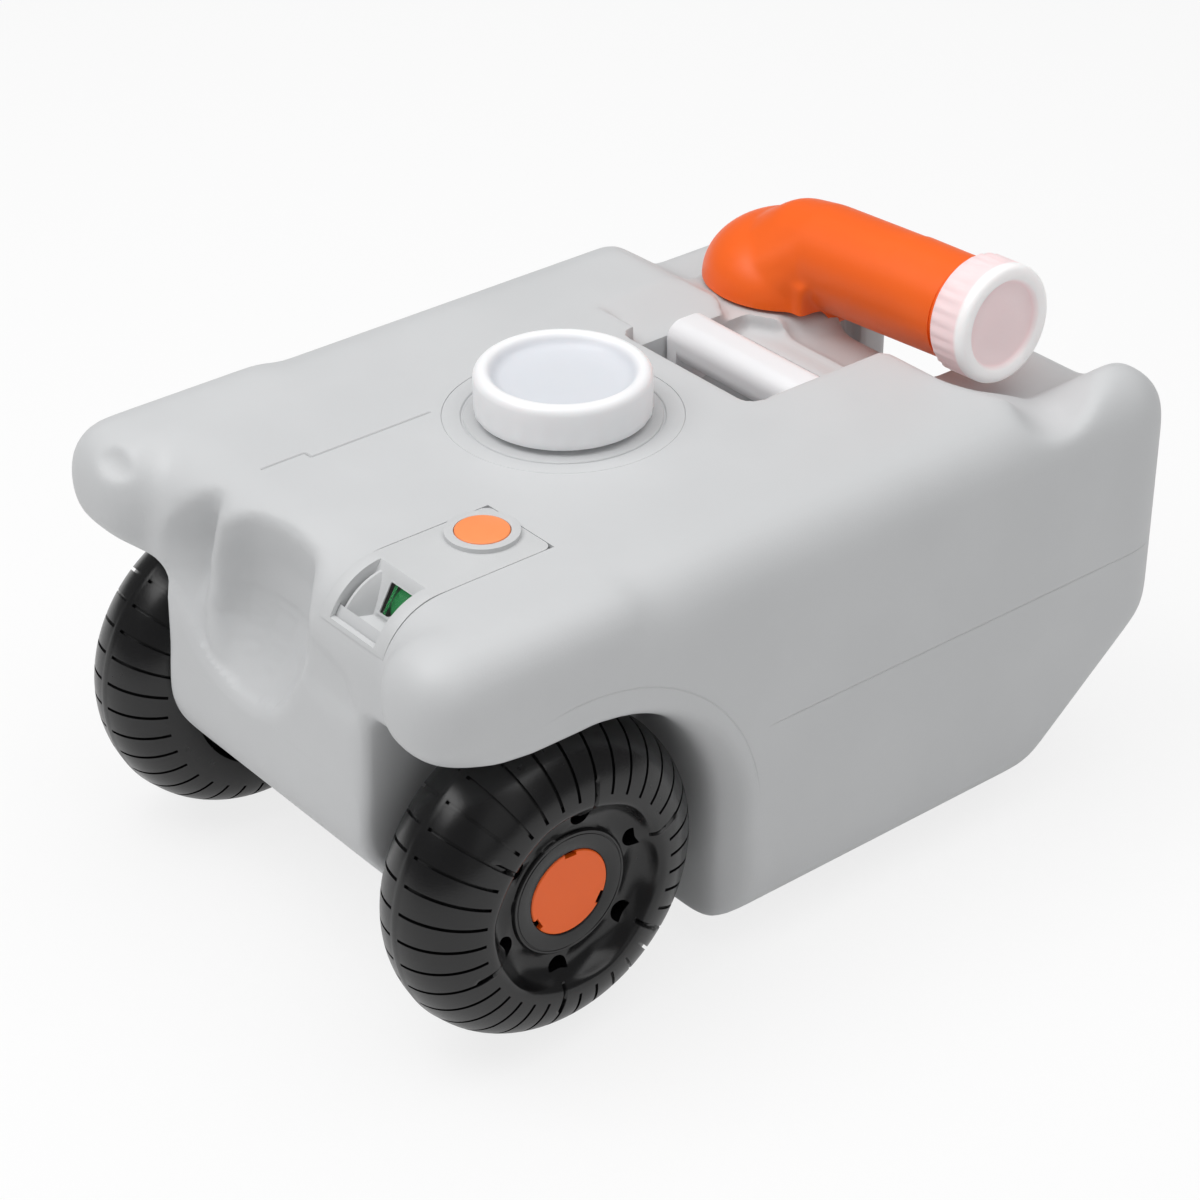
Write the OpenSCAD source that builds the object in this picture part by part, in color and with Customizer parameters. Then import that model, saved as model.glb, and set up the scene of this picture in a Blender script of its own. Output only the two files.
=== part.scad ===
// Wheeled waste-water tank: a blow-moulded shell on two wheels with a swivelling spout,
// a screwed filler cap, a vent button, a float gauge and a carrying bar.
// Millimetres. +Z is up, the wheels are at -Y and the spout at +Y.
// The origin lies on the ground under the middle of the whole part.

/* [Tank] */
// Width over the flat sides
tank_w = 300; // [294:1:320]
// Length from the front of the wheels to the rear face
overall_l = 460; // [452:1:490]
// Height of the deck above the ground
deck_z = 223.5; // [221:0.5:232]
// Height of the underside above the ground
belly_z = 12.5; // [8:0.5:16]
// Thickness of the shell
wall = 3; // [2.5:0.1:3.6]
// Rounding of the shell's outer edges
edge_r = 32; // [29:1:35]
// How far the foot of the front wall stands ahead of the axle
nose_reach = 20; // [16:1:26]
// How far the front edge of the deck stands ahead of the axle
deck_reach = 63; // [60:1:68]
// How far the knee of the front wall stands ahead of the axle
knee_reach = 67; // [63:1:70]
// Height of the knee of the front wall
knee_z = 105; // [98:1:112]
// How far the two arms over the wheels stand ahead of the axle
arm_reach = 77; // [72:1:79]
// Length of the slope under the rear end
heel_run = 64; // [55:1:74]
// Height of the slope under the rear end
heel_rise = 51; // [44:1:58]
// Width of each moulded foot
foot_w = 26; // [20:1:34]
// Length of each moulded foot
foot_l = 70; // [50:1:90]
// Distance between the middles of the two feet
foot_spacing = 130; // [110:1:160]

/* [Wheels] */
// Diameter over the tread
wheel_d = 160; // [150:1:164]
// Width of the tyre
tyre_w = 62; // [58:1:66]
// Distance between the middles of the two wheels
track = 234.6; // [230:0.2:238]
// Diameter of the axle
axle_d = 12; // [10:0.5:14]
// Diameter of the hub cap
hub_cap_d = 42.4; // [38:0.2:46]
// Diameter of the flat hub disc
hub_d = 62; // [58:1:66]
// Number of dimples round the hub
dimples = 6; // [4:1:8]
// Gap between the tread and the wheel well
well_gap = 8; // [6:0.5:10]
// Gap between the side of the tyre and the wheel well
well_side_gap = 6.5; // [5:0.5:9]
// Rounding of the wheel well's outer edge
well_edge_r = 20; // [14:1:24]

/* [Filler] */
// Distance of the filler behind the axle
filler_back = 110.5; // [104:0.5:116]
// Diameter of the filler cap
filler_cap_d = 84; // [80:0.5:90]
// Height of the filler cap
filler_cap_h = 21.5; // [20:0.5:25]
// Inside diameter of the filler neck
filler_bore_d = 64; // [56:0.5:66]
// Wall of the filler neck
filler_neck_t = 4; // [3:0.1:5]
// Height of the filler neck above the deck
filler_neck_h = 15; // [12:0.5:17]

/* [Spout] */
// Distance of the spout's pivot left of the middle
spout_off = 66; // [60:1:72]
// Distance of the spout's pivot ahead of the rear face
spout_in = 68; // [64:1:72]
// Height of the foot of the elbow
spout_foot_z = 208.5; // [206:0.5:211]
// Diameter of the elbow at its foot
elbow_d = 88; // [84:1:92]
// Outside diameter of the spout tube
tube_d = 48; // [45:0.5:50]
// Wall of the spout tube
tube_t = 3; // [2.4:0.1:4]
// Height of the tube's axis over the pivot
tube_z = 231; // [229:0.5:234]
// Upward tilt of the tube
tube_tilt = 2.9; // [0:0.1:4]
// Length of the tube from the pivot to the spout cap
tube_l = 132; // [126:1:134]
// Diameter of the spout cap
spout_cap_d = 60; // [58:0.5:62]
// Length of the spout cap
spout_cap_l = 22; // [19:0.5:23]
// Inside diameter of the tank's spout neck
spout_bore_d = 52; // [46:0.5:54]

/* [Control strip] */
// Middle of the strip, right of the tank's middle
strip_x = 68.5; // [67:0.5:70]
// Width of the strip
strip_w = 46; // [44:0.5:48]
// Thickness of the strip
strip_t = 2.5; // [2:0.1:3]
// How far the strip's rear end lies behind the axle
strip_back = 31; // [29:0.5:36]
// How far the vent button lies behind the axle
button_back = 14; // [12:0.5:15]
// Diameter of the vent button
button_d = 25; // [22:0.5:27]
// Travel of the vent button
button_travel = 4; // [3:0.5:4.5]

/* [Float gauge] */
// Length of the float arm
float_arm_l = 128; // [110:1:132]
// Diameter of the float
float_d = 26; // [22:1:28]
// Length of the float
float_w = 22; // [18:1:24]
// Angle of the float arm below the horizon in an empty tank
float_drop = 50; // [46:1:54]

/* [Rear end and handle] */
// Height of the shelf under the spout
shelf_z = 195; // [192:0.5:197]
// Height of the floor of the rear opening
notch_z = 140; // [132:1:150]
// Right wall of the rear opening, right of the tank's middle
notch_right = 45; // [40:0.5:52]
// Left foot of the hump at the right rear corner
hump_x = 92; // [90:0.5:98]
// Left wall of the rear opening, left of the tank's middle
notch_left = 57; // [54:0.5:60]
// Width of the handle pocket
pocket_w = 96; // [90:1:100]
// Distance of the pocket's front edge behind the axle
pocket_back = 184; // [180:1:188]
// Length of the pocket along the tank
pocket_l = 78; // [74:1:82]
// Height of the pocket's floor
pocket_z = 150; // [140:1:158]
// Width of the carrying bar along the tank
bar_w = 26; // [22:1:28]
// Depth of the carrying bar
bar_h = 21; // [18:1:24]
// Distance of the top of the bar below the deck
bar_sunk = 5; // [3:0.5:8]

/* [Hidden] */

// Faces of the rounded corner balls and of the turned pieces
ball_faces = 24;
$fn = 64;
// One overrun for all cuts, and the gaps between pieces that fit
over = 1;
snug = 0.05;
slack = 0.3;

// Main places
half_w = tank_w / 2;
wheel_r = wheel_d / 2;
rear_y = overall_l / 2;
front_y = -overall_l / 2;
axle_y = front_y + wheel_r;
axle_z = wheel_r;
axle_r = axle_d / 2;
nose_y = axle_y - nose_reach;
bow_y = axle_y - deck_reach;
knee_y = axle_y - knee_reach;
arm_y = axle_y - arm_reach;
far = overall_l;

// Places on the deck are stated for this length, room and track, and move with the real ones
stated_l = 460;
stated_room = 268;
stated_track = 234.6;
rear_shift = overall_l - stated_l;
stretch = (rear_y - spout_in - elbow_d / 2 - axle_y) / stated_room;

// Wheel wells
wheel_x = track / 2;
tyre_half = tyre_w / 2;
well_r = wheel_r + well_gap;
well_x = wheel_x - tyre_half - well_side_gap;
well_top_z = axle_z + well_r;
fillet_steps = 5;
axle_boss_t = 8;
axle_boss_r = axle_r + axle_boss_t;
bow_slope = (deck_reach - knee_reach) / (deck_z - edge_r - knee_z);
bow_edge_r = 20;
bow_edge_y = bow_y + edge_r + (deck_z - edge_r - well_top_z) * bow_slope
             - edge_r * sqrt(1 + bow_slope * bow_slope);
arm_r = 28.6;
arm_shy = 0.4;
arm_x = half_w - arm_r - arm_shy;
arm_z = deck_z - arm_r - arm_shy;

// Wheels and what holds them on
clip_t = 1.5;
washer_t = 1.5;
hub_face_in = 7.8;
hub_back_in = 2;
cap_seat_depth = 6;
hub_cap_t = 3;
clip_gap = 0.5;
hub_face_x = wheel_x + tyre_half - hub_face_in;
cap_floor_x = hub_face_x - cap_seat_depth;
axle_end_x = cap_floor_x + clip_gap + clip_t;
bush_t = 3;
bush_r = axle_r + bush_t;
hub_groove_w = 16;
hub_groove_depth = 6;
dimple_r = 5;
dimple_depth = 9;
dimple_turn = 20;
cap_notches = 3;
cap_notch_w = 6;
cap_notch_depth = 2.5;
axle_boss_l = well_side_gap + hub_back_in - washer_t - 2 * slack;

// Front scoop between the left arm and the control strip
strip_mid = strip_x + (track - stated_track) / 2;
strip_left = strip_mid - strip_w / 2;
scoop_left_in = 0.8;
scoop_right_gap = 13.5;
scoop_low_share = 0.5676;
scoop_r = 22;
scoop_left_x = scoop_left_in - well_x;
scoop_right_x = strip_left - scoop_right_gap;
scoop_low_x = scoop_left_x + scoop_low_share * (scoop_right_x - scoop_left_x);
scoop_sink = 33;
scoop_side_z = 165;
scoop_depth = 93.5;
scoop_low_z = deck_z - scoop_depth;
scoop_back_z = 185;
scoop_back_in = 7;
scoop_ahead = 22;
dish_r = 40;
dish_depth = 3.5;
dish_in = 33;
dish_back = 24;

// Filler
filler_y = axle_y + filler_back * stretch;
filler_r = filler_bore_d / 2;
filler_neck_r = filler_r + filler_neck_t;
filler_top_z = deck_z + filler_neck_h;
filler_seal_t = 1.5;
filler_seal_in = 0.8;
filler_cap_gap = 3;
filler_cap_r = filler_cap_d / 2;
filler_cap_z = deck_z + filler_cap_gap;
filler_cap_top_z = filler_cap_z + filler_cap_h;
filler_rim = 8;
filler_cap_t = 2.5;
filler_dish_z = filler_top_z + filler_seal_t + filler_cap_t;
filler_ring_r = 47.4;
filler_ring_w = 1.2;
filler_ring_depth = 0.8;
filler_flange_r = 57;

// Spout
spout_x = -spout_off;
spout_y = rear_y - spout_in;
elbow_r = elbow_d / 2;
tube_r = tube_d / 2;
tube_bore_r = tube_r - tube_t;
spout_bore_r = spout_bore_d / 2;
spout_neck_t = 4;
tube_start = 20;
tube_joint = 24;
elbow_skirt_h = 3;
dome_z = spout_foot_z + elbow_skirt_h;
dome_h = 28;
dome_r = (elbow_r * elbow_r + dome_h * dome_h) / (2 * dome_h);
spout_neck_r = spout_bore_r + spout_neck_t;
seat_gap = 2;
pedestal_r = elbow_r + seat_gap;
pedestal_gap = 2;
pedestal_z = spout_foot_z - pedestal_gap;
spout_neck_h = 13;
spout_neck_top_z = spout_foot_z + spout_neck_h;
spout_seal_t = 2;
elbow_inner_z = spout_neck_top_z + spout_seal_t;
ring_up = 4;
ring_z = spout_foot_z + ring_up;
ring_h = 3;
ring_t = 3.5;
ring_r = spout_neck_r + ring_t;
spout_cap_r = spout_cap_d / 2;
spigot_short = 7;
spigot_l = spout_cap_l - spigot_short;
spout_cap_dish = 4;
spout_cap_rim = 9;
spout_cap_seal_t = 1.5;

// Control strip
strip_rear_y = axle_y + strip_back;
strip_corner_r = 5;
bend_y = bow_y + edge_r;
bend_z = deck_z - edge_r;
strip_end_angle = 20;
strip_end_far = [bend_y - 2 * edge_r * cos(strip_end_angle),
                 bend_z + 2 * edge_r * sin(strip_end_angle)];
bed_z = deck_z - strip_t;
bed_r = edge_r - strip_t - slack;
bed_side_gap = 0.4;
button_off = 5;
button_x = strip_mid - button_off;
button_y = axle_y + button_back;
button_r = button_d / 2;
collar_w = 4.5;
collar_h = 2.2;
button_proud = 2.6;
button_cap_h = 6.5;
button_top_z = deck_z + button_proud;
button_under_z = button_top_z - button_cap_h;
cup_gap = 1.5;
cup_r = button_r + cup_gap;
spring_room = 8;
cup_depth = spring_room + button_travel;
cup_z = bed_z - cup_depth;
stem_r = 3;
vent_hole_r = 5;
valve_r = 9;
valve_t = 3;
valve_seal_t = 2;
valve_z = cup_z - wall - valve_seal_t;
spring_wire = 1.2;
spring_r = 6.5;
spring_turns = 4;
spring_sides = 6;
spring_steps = 12;
spring_low = cup_z + spring_wire / 2 + slack;
spring_high = button_under_z - spring_wire / 2 - slack;
spring_count = spring_turns * spring_steps;
spring_pitch = (spring_high - spring_low) / spring_turns;

// Float gauge, in a pod under the front of the strip
pod_off = 0.5;
pod_x = strip_mid - pod_off;
pod_w = 36;
pod_wall = 2;
pod_front_in = 9;
pod_behind = 18;
pod_up = 3;
gauge_floor_up = 13;
pivot_back = 3.5;
pivot_up = 13.5;
pod_front_y = bow_y + pod_front_in;
pod_rear_y = bend_y + pod_behind;
pod_floor_z = bend_z + pod_up;
gauge_floor_z = bend_z + gauge_floor_up;
pivot_y = bend_y + pivot_back;
pivot_z = bend_z + pivot_up;
flag_r = 10.5;
flag_hub_r = 4;
flag_w = 15;
flag_off = 6.5;
flag_x = pod_x + flag_off;
pin_r = 1.5;
window_turn = 57;
window_reach = 12.5;
window_t = 1.5;
window_w = 15;
window_h = 14;
lever_w = 4;
lever_gap = 1;
lever_hub_over = 0.5;
lever_off = 6;
lever_x = pod_x - lever_off;
float_end_y = float_arm_l * cos(float_drop);
float_end_z = -float_arm_l * sin(float_drop);

// Rear end
shelf_back = 275;
shelf_y = axle_y + shelf_back + rear_shift;
shelf_edge_r = 18;
notch_back = 308;
notch_y = axle_y + notch_back + rear_shift;
notch_wide_back = 342;
notch_wide_y = axle_y + notch_wide_back + rear_shift;
notch_wide = 74;
notch_slant = 48;
ramp_top_back = 245;
ramp_top_y = axle_y + ramp_top_back + rear_shift;
ramp_foot_back = 290;
ramp_foot_y = axle_y + ramp_foot_back + rear_shift;
ramp_below = 4;
ramp_z = shelf_z - ramp_below;
ramp_right_x = -50;
ridge_drop = 3;
groove_in = 65.5;
groove_y = rear_y - groove_in;
groove_near = 31;
groove_far = 25.5;
groove_depth = 29;
groove_floor_z = deck_z - groove_depth;
groove_round = 8;
hump_run = 34;
hump_rear_r = 42;
ramp_edge_r = 28;
corner_r = 10;
post_w = 16;
post_l = 18;
post_off = 26;
post_back = 31;
post_x = spout_x + post_off;
post_y = spout_y + post_back;

// Where the mouldings of the shell meet
seam_z = 127;
seam_gap = 1.5;
seam_y = shelf_y + seam_gap;

// Handle pocket and bar
pocket_y = axle_y + pocket_back * stretch;
pocket_run = pocket_l * stretch;
bar_back = 43;
bar_y = pocket_y + bar_back * stretch;
pocket_seam = pocket_y - wall - seam_gap;
bar_top_z = deck_z - bar_sunk;
bar_round = 9;
bar_gap = 1;
cheek_drop = 12;
slope_run = 30;
slope_drop = 16;
cheek_t = 7;
spigot_r = 5;
spigot_in = 7;
end_cap_t = 2.4;

// A ball whose flats reach its full radius, for hulls
module ball(r) {
    sphere(r = r / cos(180 / ball_faces), $fn = ball_faces);
}

// A cylinder along +X from x0 to x1
module rod_x(x0, x1, y, z, r) {
    translate([x0, y, z]) rotate([0, 90, 0]) cylinder(r = r, h = x1 - x0);
}

// A flat ring standing on z
module ring(r_in, r_out, z, h) {
    translate([0, 0, z]) difference() {
        cylinder(r = r_out, h = h);
        translate([0, 0, -over]) cylinder(r = r_in, h = h + 2 * over);
    }
}

// A box between two corners
module box(low, high) {
    translate(low) cube(high - low);
}

// A rectangle with round corners between two corners, in plan
module round_plan(low, high, r) {
    translate([low[0] + r, low[1]]) square([high[0] - low[0] - 2 * r, high[1] - low[1]]);
    translate([low[0], low[1] + r]) square([high[0] - low[0], high[1] - low[1] - 2 * r]);
    for (x = [low[0] + r, high[0] - r], y = [low[1] + r, high[1] - r])
        translate([x, y]) circle(r = r);
}

// A flat outline in the YZ plane, drawn out along +X
module along_x(x0, x1) {
    translate([x0, 0, 0]) rotate([90, 0, 90]) linear_extrude(x1 - x0) children();
}

// The rounded block of the tank, drawn in by inset
module shell_block(inset) {
    places = [[nose_y + edge_r, belly_z + edge_r],
              [knee_y + edge_r, knee_z],
              [bow_y + edge_r, deck_z - edge_r],
              [rear_y - edge_r, deck_z - edge_r],
              [rear_y - edge_r, belly_z + edge_r + heel_rise],
              [rear_y - edge_r - heel_run, belly_z + edge_r]];
    hull()
        for (side = [-1, 1], p = places)
            translate([side * (half_w - edge_r), p[0], p[1]]) ball(edge_r - inset);
}

// What a rounded edge takes off a square corner; the signs say which way is into the solid
module edge_waste(r, grow, side_u, side_v) {
    turn = 90 / fillet_steps;
    arc = [for (i = [0 : fillet_steps])
           [r - (r - grow) * sin(i * turn), r - (r - grow) * cos(i * turn)]];
    corner = concat([[-over, -over], [r, -over]], arc, [[-over, r]]);
    polygon([for (p = corner) [side_u * p[0], side_v * p[1]]]);
}

// A wheel well with its rounded outer edge, on one side
module wheel_well(side, grow) {
    inner = well_x - grow;
    r = well_r + grow;
    e = well_edge_r;
    mirror([side < 0 ? 1 : 0, 0, 0]) {
        rod_x(inner, half_w + over, axle_y, axle_z, r);
        box([inner, front_y - over, -over], [half_w + over, axle_y + r, axle_z]);
        box([inner, front_y - over, axle_z - over], [half_w + over, axle_y, axle_z + r]);
        // Edge round the arch, then along the arm, then down the rear wall
        translate([half_w, axle_y, axle_z]) rotate([0, 90, 0]) rotate(90)
            rotate_extrude(angle = 90) translate([well_r, 0]) edge_waste(e, grow, 1, -1);
        translate([half_w, axle_y, well_top_z]) rotate([90, 0, 0])
            linear_extrude(arm_reach) edge_waste(e, grow, -1, 1);
        translate([half_w, axle_y + well_r, -over]) linear_extrude(axle_z + over)
            edge_waste(e, grow, -1, 1);
        // Lower edge of the bow over the wheel
        along_x(inner, half_w + over) translate([bow_edge_y, well_top_z])
            edge_waste(bow_edge_r, grow, 1, 1);
    }
}

// The soft hollow in the front between the left arm and the strip
module scoop(grow) {
    back_y = bow_y + scoop_sink - scoop_r;
    ahead_y = bow_y - scoop_ahead;
    left = scoop_left_x + scoop_r;
    right = scoop_right_x - scoop_r;
    places = [[left, back_y, deck_z + scoop_r], [right, back_y, deck_z + scoop_r],
              [left, ahead_y, deck_z + scoop_r], [right, ahead_y, deck_z + scoop_r],
              [left + scoop_back_in, back_y, scoop_back_z], [right - scoop_back_in, back_y, scoop_back_z],
              [left, ahead_y, scoop_side_z], [right, ahead_y, scoop_side_z],
              [scoop_low_x, ahead_y, scoop_low_z + scoop_r]];
    hull()
        for (p = places)
            translate(p) ball(scoop_r + grow);
}

// The bed that the control strip lies on, curving down over the front edge
module strip_bed(grow) {
    along_x(strip_left - bed_side_gap - grow, strip_left + strip_w + bed_side_gap + grow)
        difference() {
            translate([bow_y - over, bend_z])
                square([strip_rear_y + bed_side_gap + grow - bow_y + over, edge_r + over]);
            translate([bend_y, bend_z - over])
                square([far, bed_z - grow - bend_z + over]);
            translate([bend_y, bend_z]) circle(r = bed_r - grow);
            polygon([[bend_y, bend_z], [bend_y, bend_z - over], [bow_y - 2 * over, bend_z - over],
                     strip_end_far]);
        }
}

// The opening that the gauge pod sits in
module pod_opening(grow) {
    half = pod_w / 2 + bed_side_gap + grow;
    box([pod_x - half, pod_front_y - bed_side_gap - grow, pod_floor_z],
        [pod_x + half, pod_rear_y + bed_side_gap + grow, deck_z]);
}

// The cup under the vent button
module vent_cup(grow) {
    translate([button_x, button_y, cup_z - grow]) cylinder(r = cup_r + grow, h = far);
}

// The pocket round the carrying bar, its soft left side, and the sockets for the bar's ends
module handle_pocket(grow) {
    half = pocket_w / 2 + grow;
    translate([0, 0, pocket_z - grow]) linear_extrude(far)
        round_plan([-half, pocket_y - grow], [half, pocket_y + pocket_run + grow], corner_r + grow);
    translate([0, pocket_y + pocket_run - corner_r + grow, 0]) rotate([90, 0, 0])
        linear_extrude(pocket_run - 2 * corner_r + 2 * grow)
        polygon([[-half - slope_run, deck_z + over], [-half - slope_run, deck_z],
                 [-half + corner_r, deck_z - slope_drop - grow], [0, deck_z - slope_drop - grow],
                 [0, deck_z + over]]);
    rod_x(-half - spigot_in, half + spigot_in, bar_y, bar_top_z - bar_h / 2,
          spigot_r + snug + grow);
    box([-half, pocket_y + pocket_run - corner_r, deck_z - ridge_drop - grow],
        [pocket_w / 2 - corner_r, shelf_y + over, far]);
}

// The low rear: shelf under the spout, ramp on the left and groove on the right
module rear_cuts(grow) {
    box([ramp_right_x, shelf_y - grow, shelf_z - grow], [hump_x + grow, far, far]);
    along_x(-half_w - over, hump_x + grow)
        translate([rear_y, shelf_z]) edge_waste(shelf_edge_r, grow, -1, -1);
    // Left flank and rear rounding of the hump, and the rounded side of the ramp
    translate([0, rear_y + over, 0]) rotate([90, 0, 0]) linear_extrude(rear_y + over - groove_y)
        polygon([[hump_x - over, shelf_z - grow], [hump_x + grow, shelf_z - grow],
                 [hump_x + hump_run + grow, deck_z], [hump_x + hump_run + grow, far],
                 [hump_x - over, far]]);
    along_x(hump_x, half_w + over)
        translate([rear_y, deck_z]) edge_waste(hump_rear_r, grow, -1, -1);
    translate([-half_w, rear_y + over, ramp_z]) rotate([90, 0, 0])
        linear_extrude(rear_y + over - ramp_foot_y) edge_waste(ramp_edge_r, grow, 1, -1);
    spout_place() translate([0, 0, pedestal_z - grow]) cylinder(r = pedestal_r + grow, h = far);
    along_x(-half_w - over, ramp_right_x + grow)
        polygon([[ramp_top_y - grow, far], [ramp_top_y - grow, deck_z - grow],
                 [ramp_foot_y - grow, ramp_z - grow], [far, ramp_z - grow], [far, far]]);
    along_x(hump_x - over, half_w + over) {
        polygon([[groove_y - groove_near - grow - over, deck_z + over],
                 [groove_y - groove_near - grow, deck_z],
                 [groove_y, groove_floor_z - grow],
                 [groove_y + groove_far + grow, deck_z],
                 [groove_y + groove_far + grow + over, deck_z + over]]);
        translate([groove_y, groove_floor_z + groove_round]) circle(r = groove_round + grow);
    }
}

// The opening behind the shelf, wider on the left behind the spout's column
module rear_notch(grow) {
    translate([0, 0, notch_z - grow]) linear_extrude(far)
        polygon([[-notch_left - grow, notch_y - grow], [notch_right + grow, notch_y - grow],
                 [notch_right + grow, far], [-notch_left - notch_wide - grow, far],
                 [-notch_left - notch_wide - grow, notch_wide_y + notch_slant - grow],
                 [-notch_left - grow, notch_wide_y - grow]]);
}

// All hollows in the outside of the shell; grown by the wall they shape the inside too
module outer_cuts(grow) {
    for (side = [-1, 1]) wheel_well(side, grow);
    scoop(grow);
    strip_bed(grow);
    vent_cup(grow);
    handle_pocket(grow);
    rear_cuts(grow);
}

module spout_place() {
    translate([spout_x, spout_y, 0]) children();
}

module filler_place() {
    translate([0, filler_y, 0]) children();
}

// Local +Z runs out along the spout tube
module tube_place() {
    translate([spout_x, spout_y, tube_z]) rotate([0, 90 - tube_tilt, 0]) children();
}

module tank_shell() {
    difference() {
        union() {
            difference() {
                union() {
                    difference() {
                        shell_block(0);
                        outer_cuts(0);
                    }
                    // Rounded arms over the wheels, and the seat in front of the spout
                    for (side = [-1, 1]) translate([side * arm_x, arm_y + arm_r, arm_z]) {
                        sphere(r = arm_r);
                        rotate([-90, 0, 0]) cylinder(r = arm_r, h = arm_reach - arm_r);
                    }
                    spout_place() translate([0, 0, notch_z])
                        cylinder(r = pedestal_r, h = pedestal_z - notch_z);
                }
                rear_notch(0);
                difference() {
                    shell_block(wall);
                    outer_cuts(wall);
                    rear_notch(wall);
                    rod_x(-far, far, axle_y, axle_z, axle_boss_r);
                }
                scoop(0);
                strip_bed(0);
            }
            // Column of the spout and the post beside it
            spout_place() translate([0, 0, notch_z - wall])
                cylinder(r = spout_neck_r, h = spout_neck_top_z - notch_z + wall);
            box([post_x - post_w / 2, post_y - post_l / 2, notch_z - wall / 2],
                [post_x + post_w / 2, post_y + post_l / 2, pedestal_z]);
            // Feet under the rear, and bosses that the wheels run against
            for (side = [-1, 1]) {
                translate([side * foot_spacing / 2, rear_y - edge_r - heel_run - foot_l, 0])
                    linear_extrude(belly_z + wall / 2)
                    round_plan([-foot_w / 2, 0], [foot_w / 2, foot_l], corner_r);
                rod_x(min(side * (well_x - wall), side * (well_x + axle_boss_l)),
                      max(side * (well_x - wall), side * (well_x + axle_boss_l)),
                      axle_y, axle_z, axle_boss_r);
            }
        }
        // Ways in from outside
        filler_place() translate([0, 0, deck_z - wall - over])
            cylinder(r = filler_flange_r + snug, h = far);
        spout_place() translate([0, 0, notch_z - wall - over]) cylinder(r = spout_bore_r, h = far);
        translate([button_x, button_y, cup_z - wall - over])
            cylinder(r = vent_hole_r, h = wall + 2 * over);
        pod_opening(0);
        rod_x(-far, far, axle_y, axle_z, axle_r + snug);
        // Small dish in the end of the left arm
        translate([dish_in - half_w, arm_y + dish_back, deck_z + dish_r - dish_depth])
            sphere(r = dish_r);
    }
}

// Lower moulding of the shell, below the mould line
module tank_body() {
    color("lightgray") intersection() {
        tank_shell();
        box([-far, -far, -far], [far, far, seam_z]);
    }
}

// Upper moulding with the deck and the arms
module tank_deck() {
    color("lightgray") intersection() {
        tank_shell();
        box([-far, -far, seam_z], [far, pocket_seam, far]);
    }
}

// Upper moulding with the handle pocket
module tank_pocket() {
    color("lightgray") intersection() {
        tank_shell();
        box([-far, pocket_seam, seam_z], [far, seam_y, far]);
    }
}

// Upper moulding at the rear with the shelf, the spout's column and the hump
module tank_rear() {
    color("lightgray") intersection() {
        tank_shell();
        box([-far, seam_y, seam_z], [far, far, far]);
    }
}

// Neck with a flange that is welded into the deck
module filler_neck() {
    color("lightgray") filler_place() difference() {
        union() {
            ring(filler_r, filler_neck_r, deck_z - wall, filler_neck_h + wall);
            ring(filler_r, filler_flange_r, deck_z - wall, wall);
        }
        ring(filler_ring_r - filler_ring_w / 2, filler_ring_r + filler_ring_w / 2,
             deck_z - filler_ring_depth, filler_ring_depth + over);
    }
}

// Plain axle that both wheels turn on
module axle() {
    color("silver") rod_x(-axle_end_x, axle_end_x, axle_y, axle_z, axle_r);
}

// Turned pieces of a wheel: local +Z runs outwards from the tank's middle
module wheel_place(side) {
    translate([0, axle_y, axle_z]) rotate([0, side * 90, 0]) children();
}

module wheel_blank() {
    rotate_extrude() difference() {
        union() {
            translate([wheel_r - tyre_half, wheel_x]) circle(r = tyre_half);
            translate([bush_r + snug, wheel_x - tyre_half + hub_back_in])
                square([wheel_r - tyre_half - bush_r, hub_face_x - wheel_x + tyre_half - hub_back_in]);
        }
        translate([hub_d / 2, hub_face_x - hub_groove_depth]) square([hub_groove_w, tyre_w]);
        translate([hub_d / 2, wheel_x - 2 * tyre_w - tyre_half + hub_back_in + hub_groove_depth])
            square([hub_groove_w, 2 * tyre_w]);
        square([bush_r + snug, far]);
        translate([0, cap_floor_x]) square([hub_cap_d / 2 + slack, tyre_w]);
    }
}

module wheel(side) {
    color("#1b1b1d") wheel_place(side) difference() {
        wheel_blank();
        for (i = [0 : dimples - 1])
            rotate(dimple_turn + i * 360 / dimples)
                translate([hub_d / 2 + hub_groove_w / 2, 0, hub_face_x - hub_groove_depth - dimple_depth])
                cylinder(r = dimple_r, h = tyre_w);
    }
}

module left_wheel() { wheel(-1); }
module right_wheel() { wheel(1); }

module wheel_bush(side) {
    color("ivory") wheel_place(side)
        ring(axle_r + snug, bush_r, wheel_x - tyre_half + hub_back_in,
             cap_floor_x - wheel_x + tyre_half - hub_back_in);
}

module left_wheel_bush() { wheel_bush(-1); }
module right_wheel_bush() { wheel_bush(1); }

module hub_cap(side) {
    color("darkorange") wheel_place(side) difference() {
        translate([0, 0, hub_face_x - hub_cap_t]) cylinder(d = hub_cap_d, h = hub_cap_t);
        for (i = [0 : cap_notches - 1])
            rotate(i * 360 / cap_notches)
                translate([hub_cap_d / 2 - cap_notch_depth, -cap_notch_w / 2, hub_face_x - hub_cap_t - over])
                cube([hub_cap_d, cap_notch_w, hub_cap_t + 2 * over]);
    }
}

module left_hub_cap() { hub_cap(-1); }
module right_hub_cap() { hub_cap(1); }

module thrust_washers() {
    color("ivory") for (side = [-1, 1]) wheel_place(side)
        ring(axle_r + snug, axle_boss_r, well_x + axle_boss_l + slack, washer_t);
}

module axle_clips() {
    color("dimgray") for (side = [-1, 1]) wheel_place(side)
        ring(axle_r, bush_r, cap_floor_x + clip_gap, clip_t);
}

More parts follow.
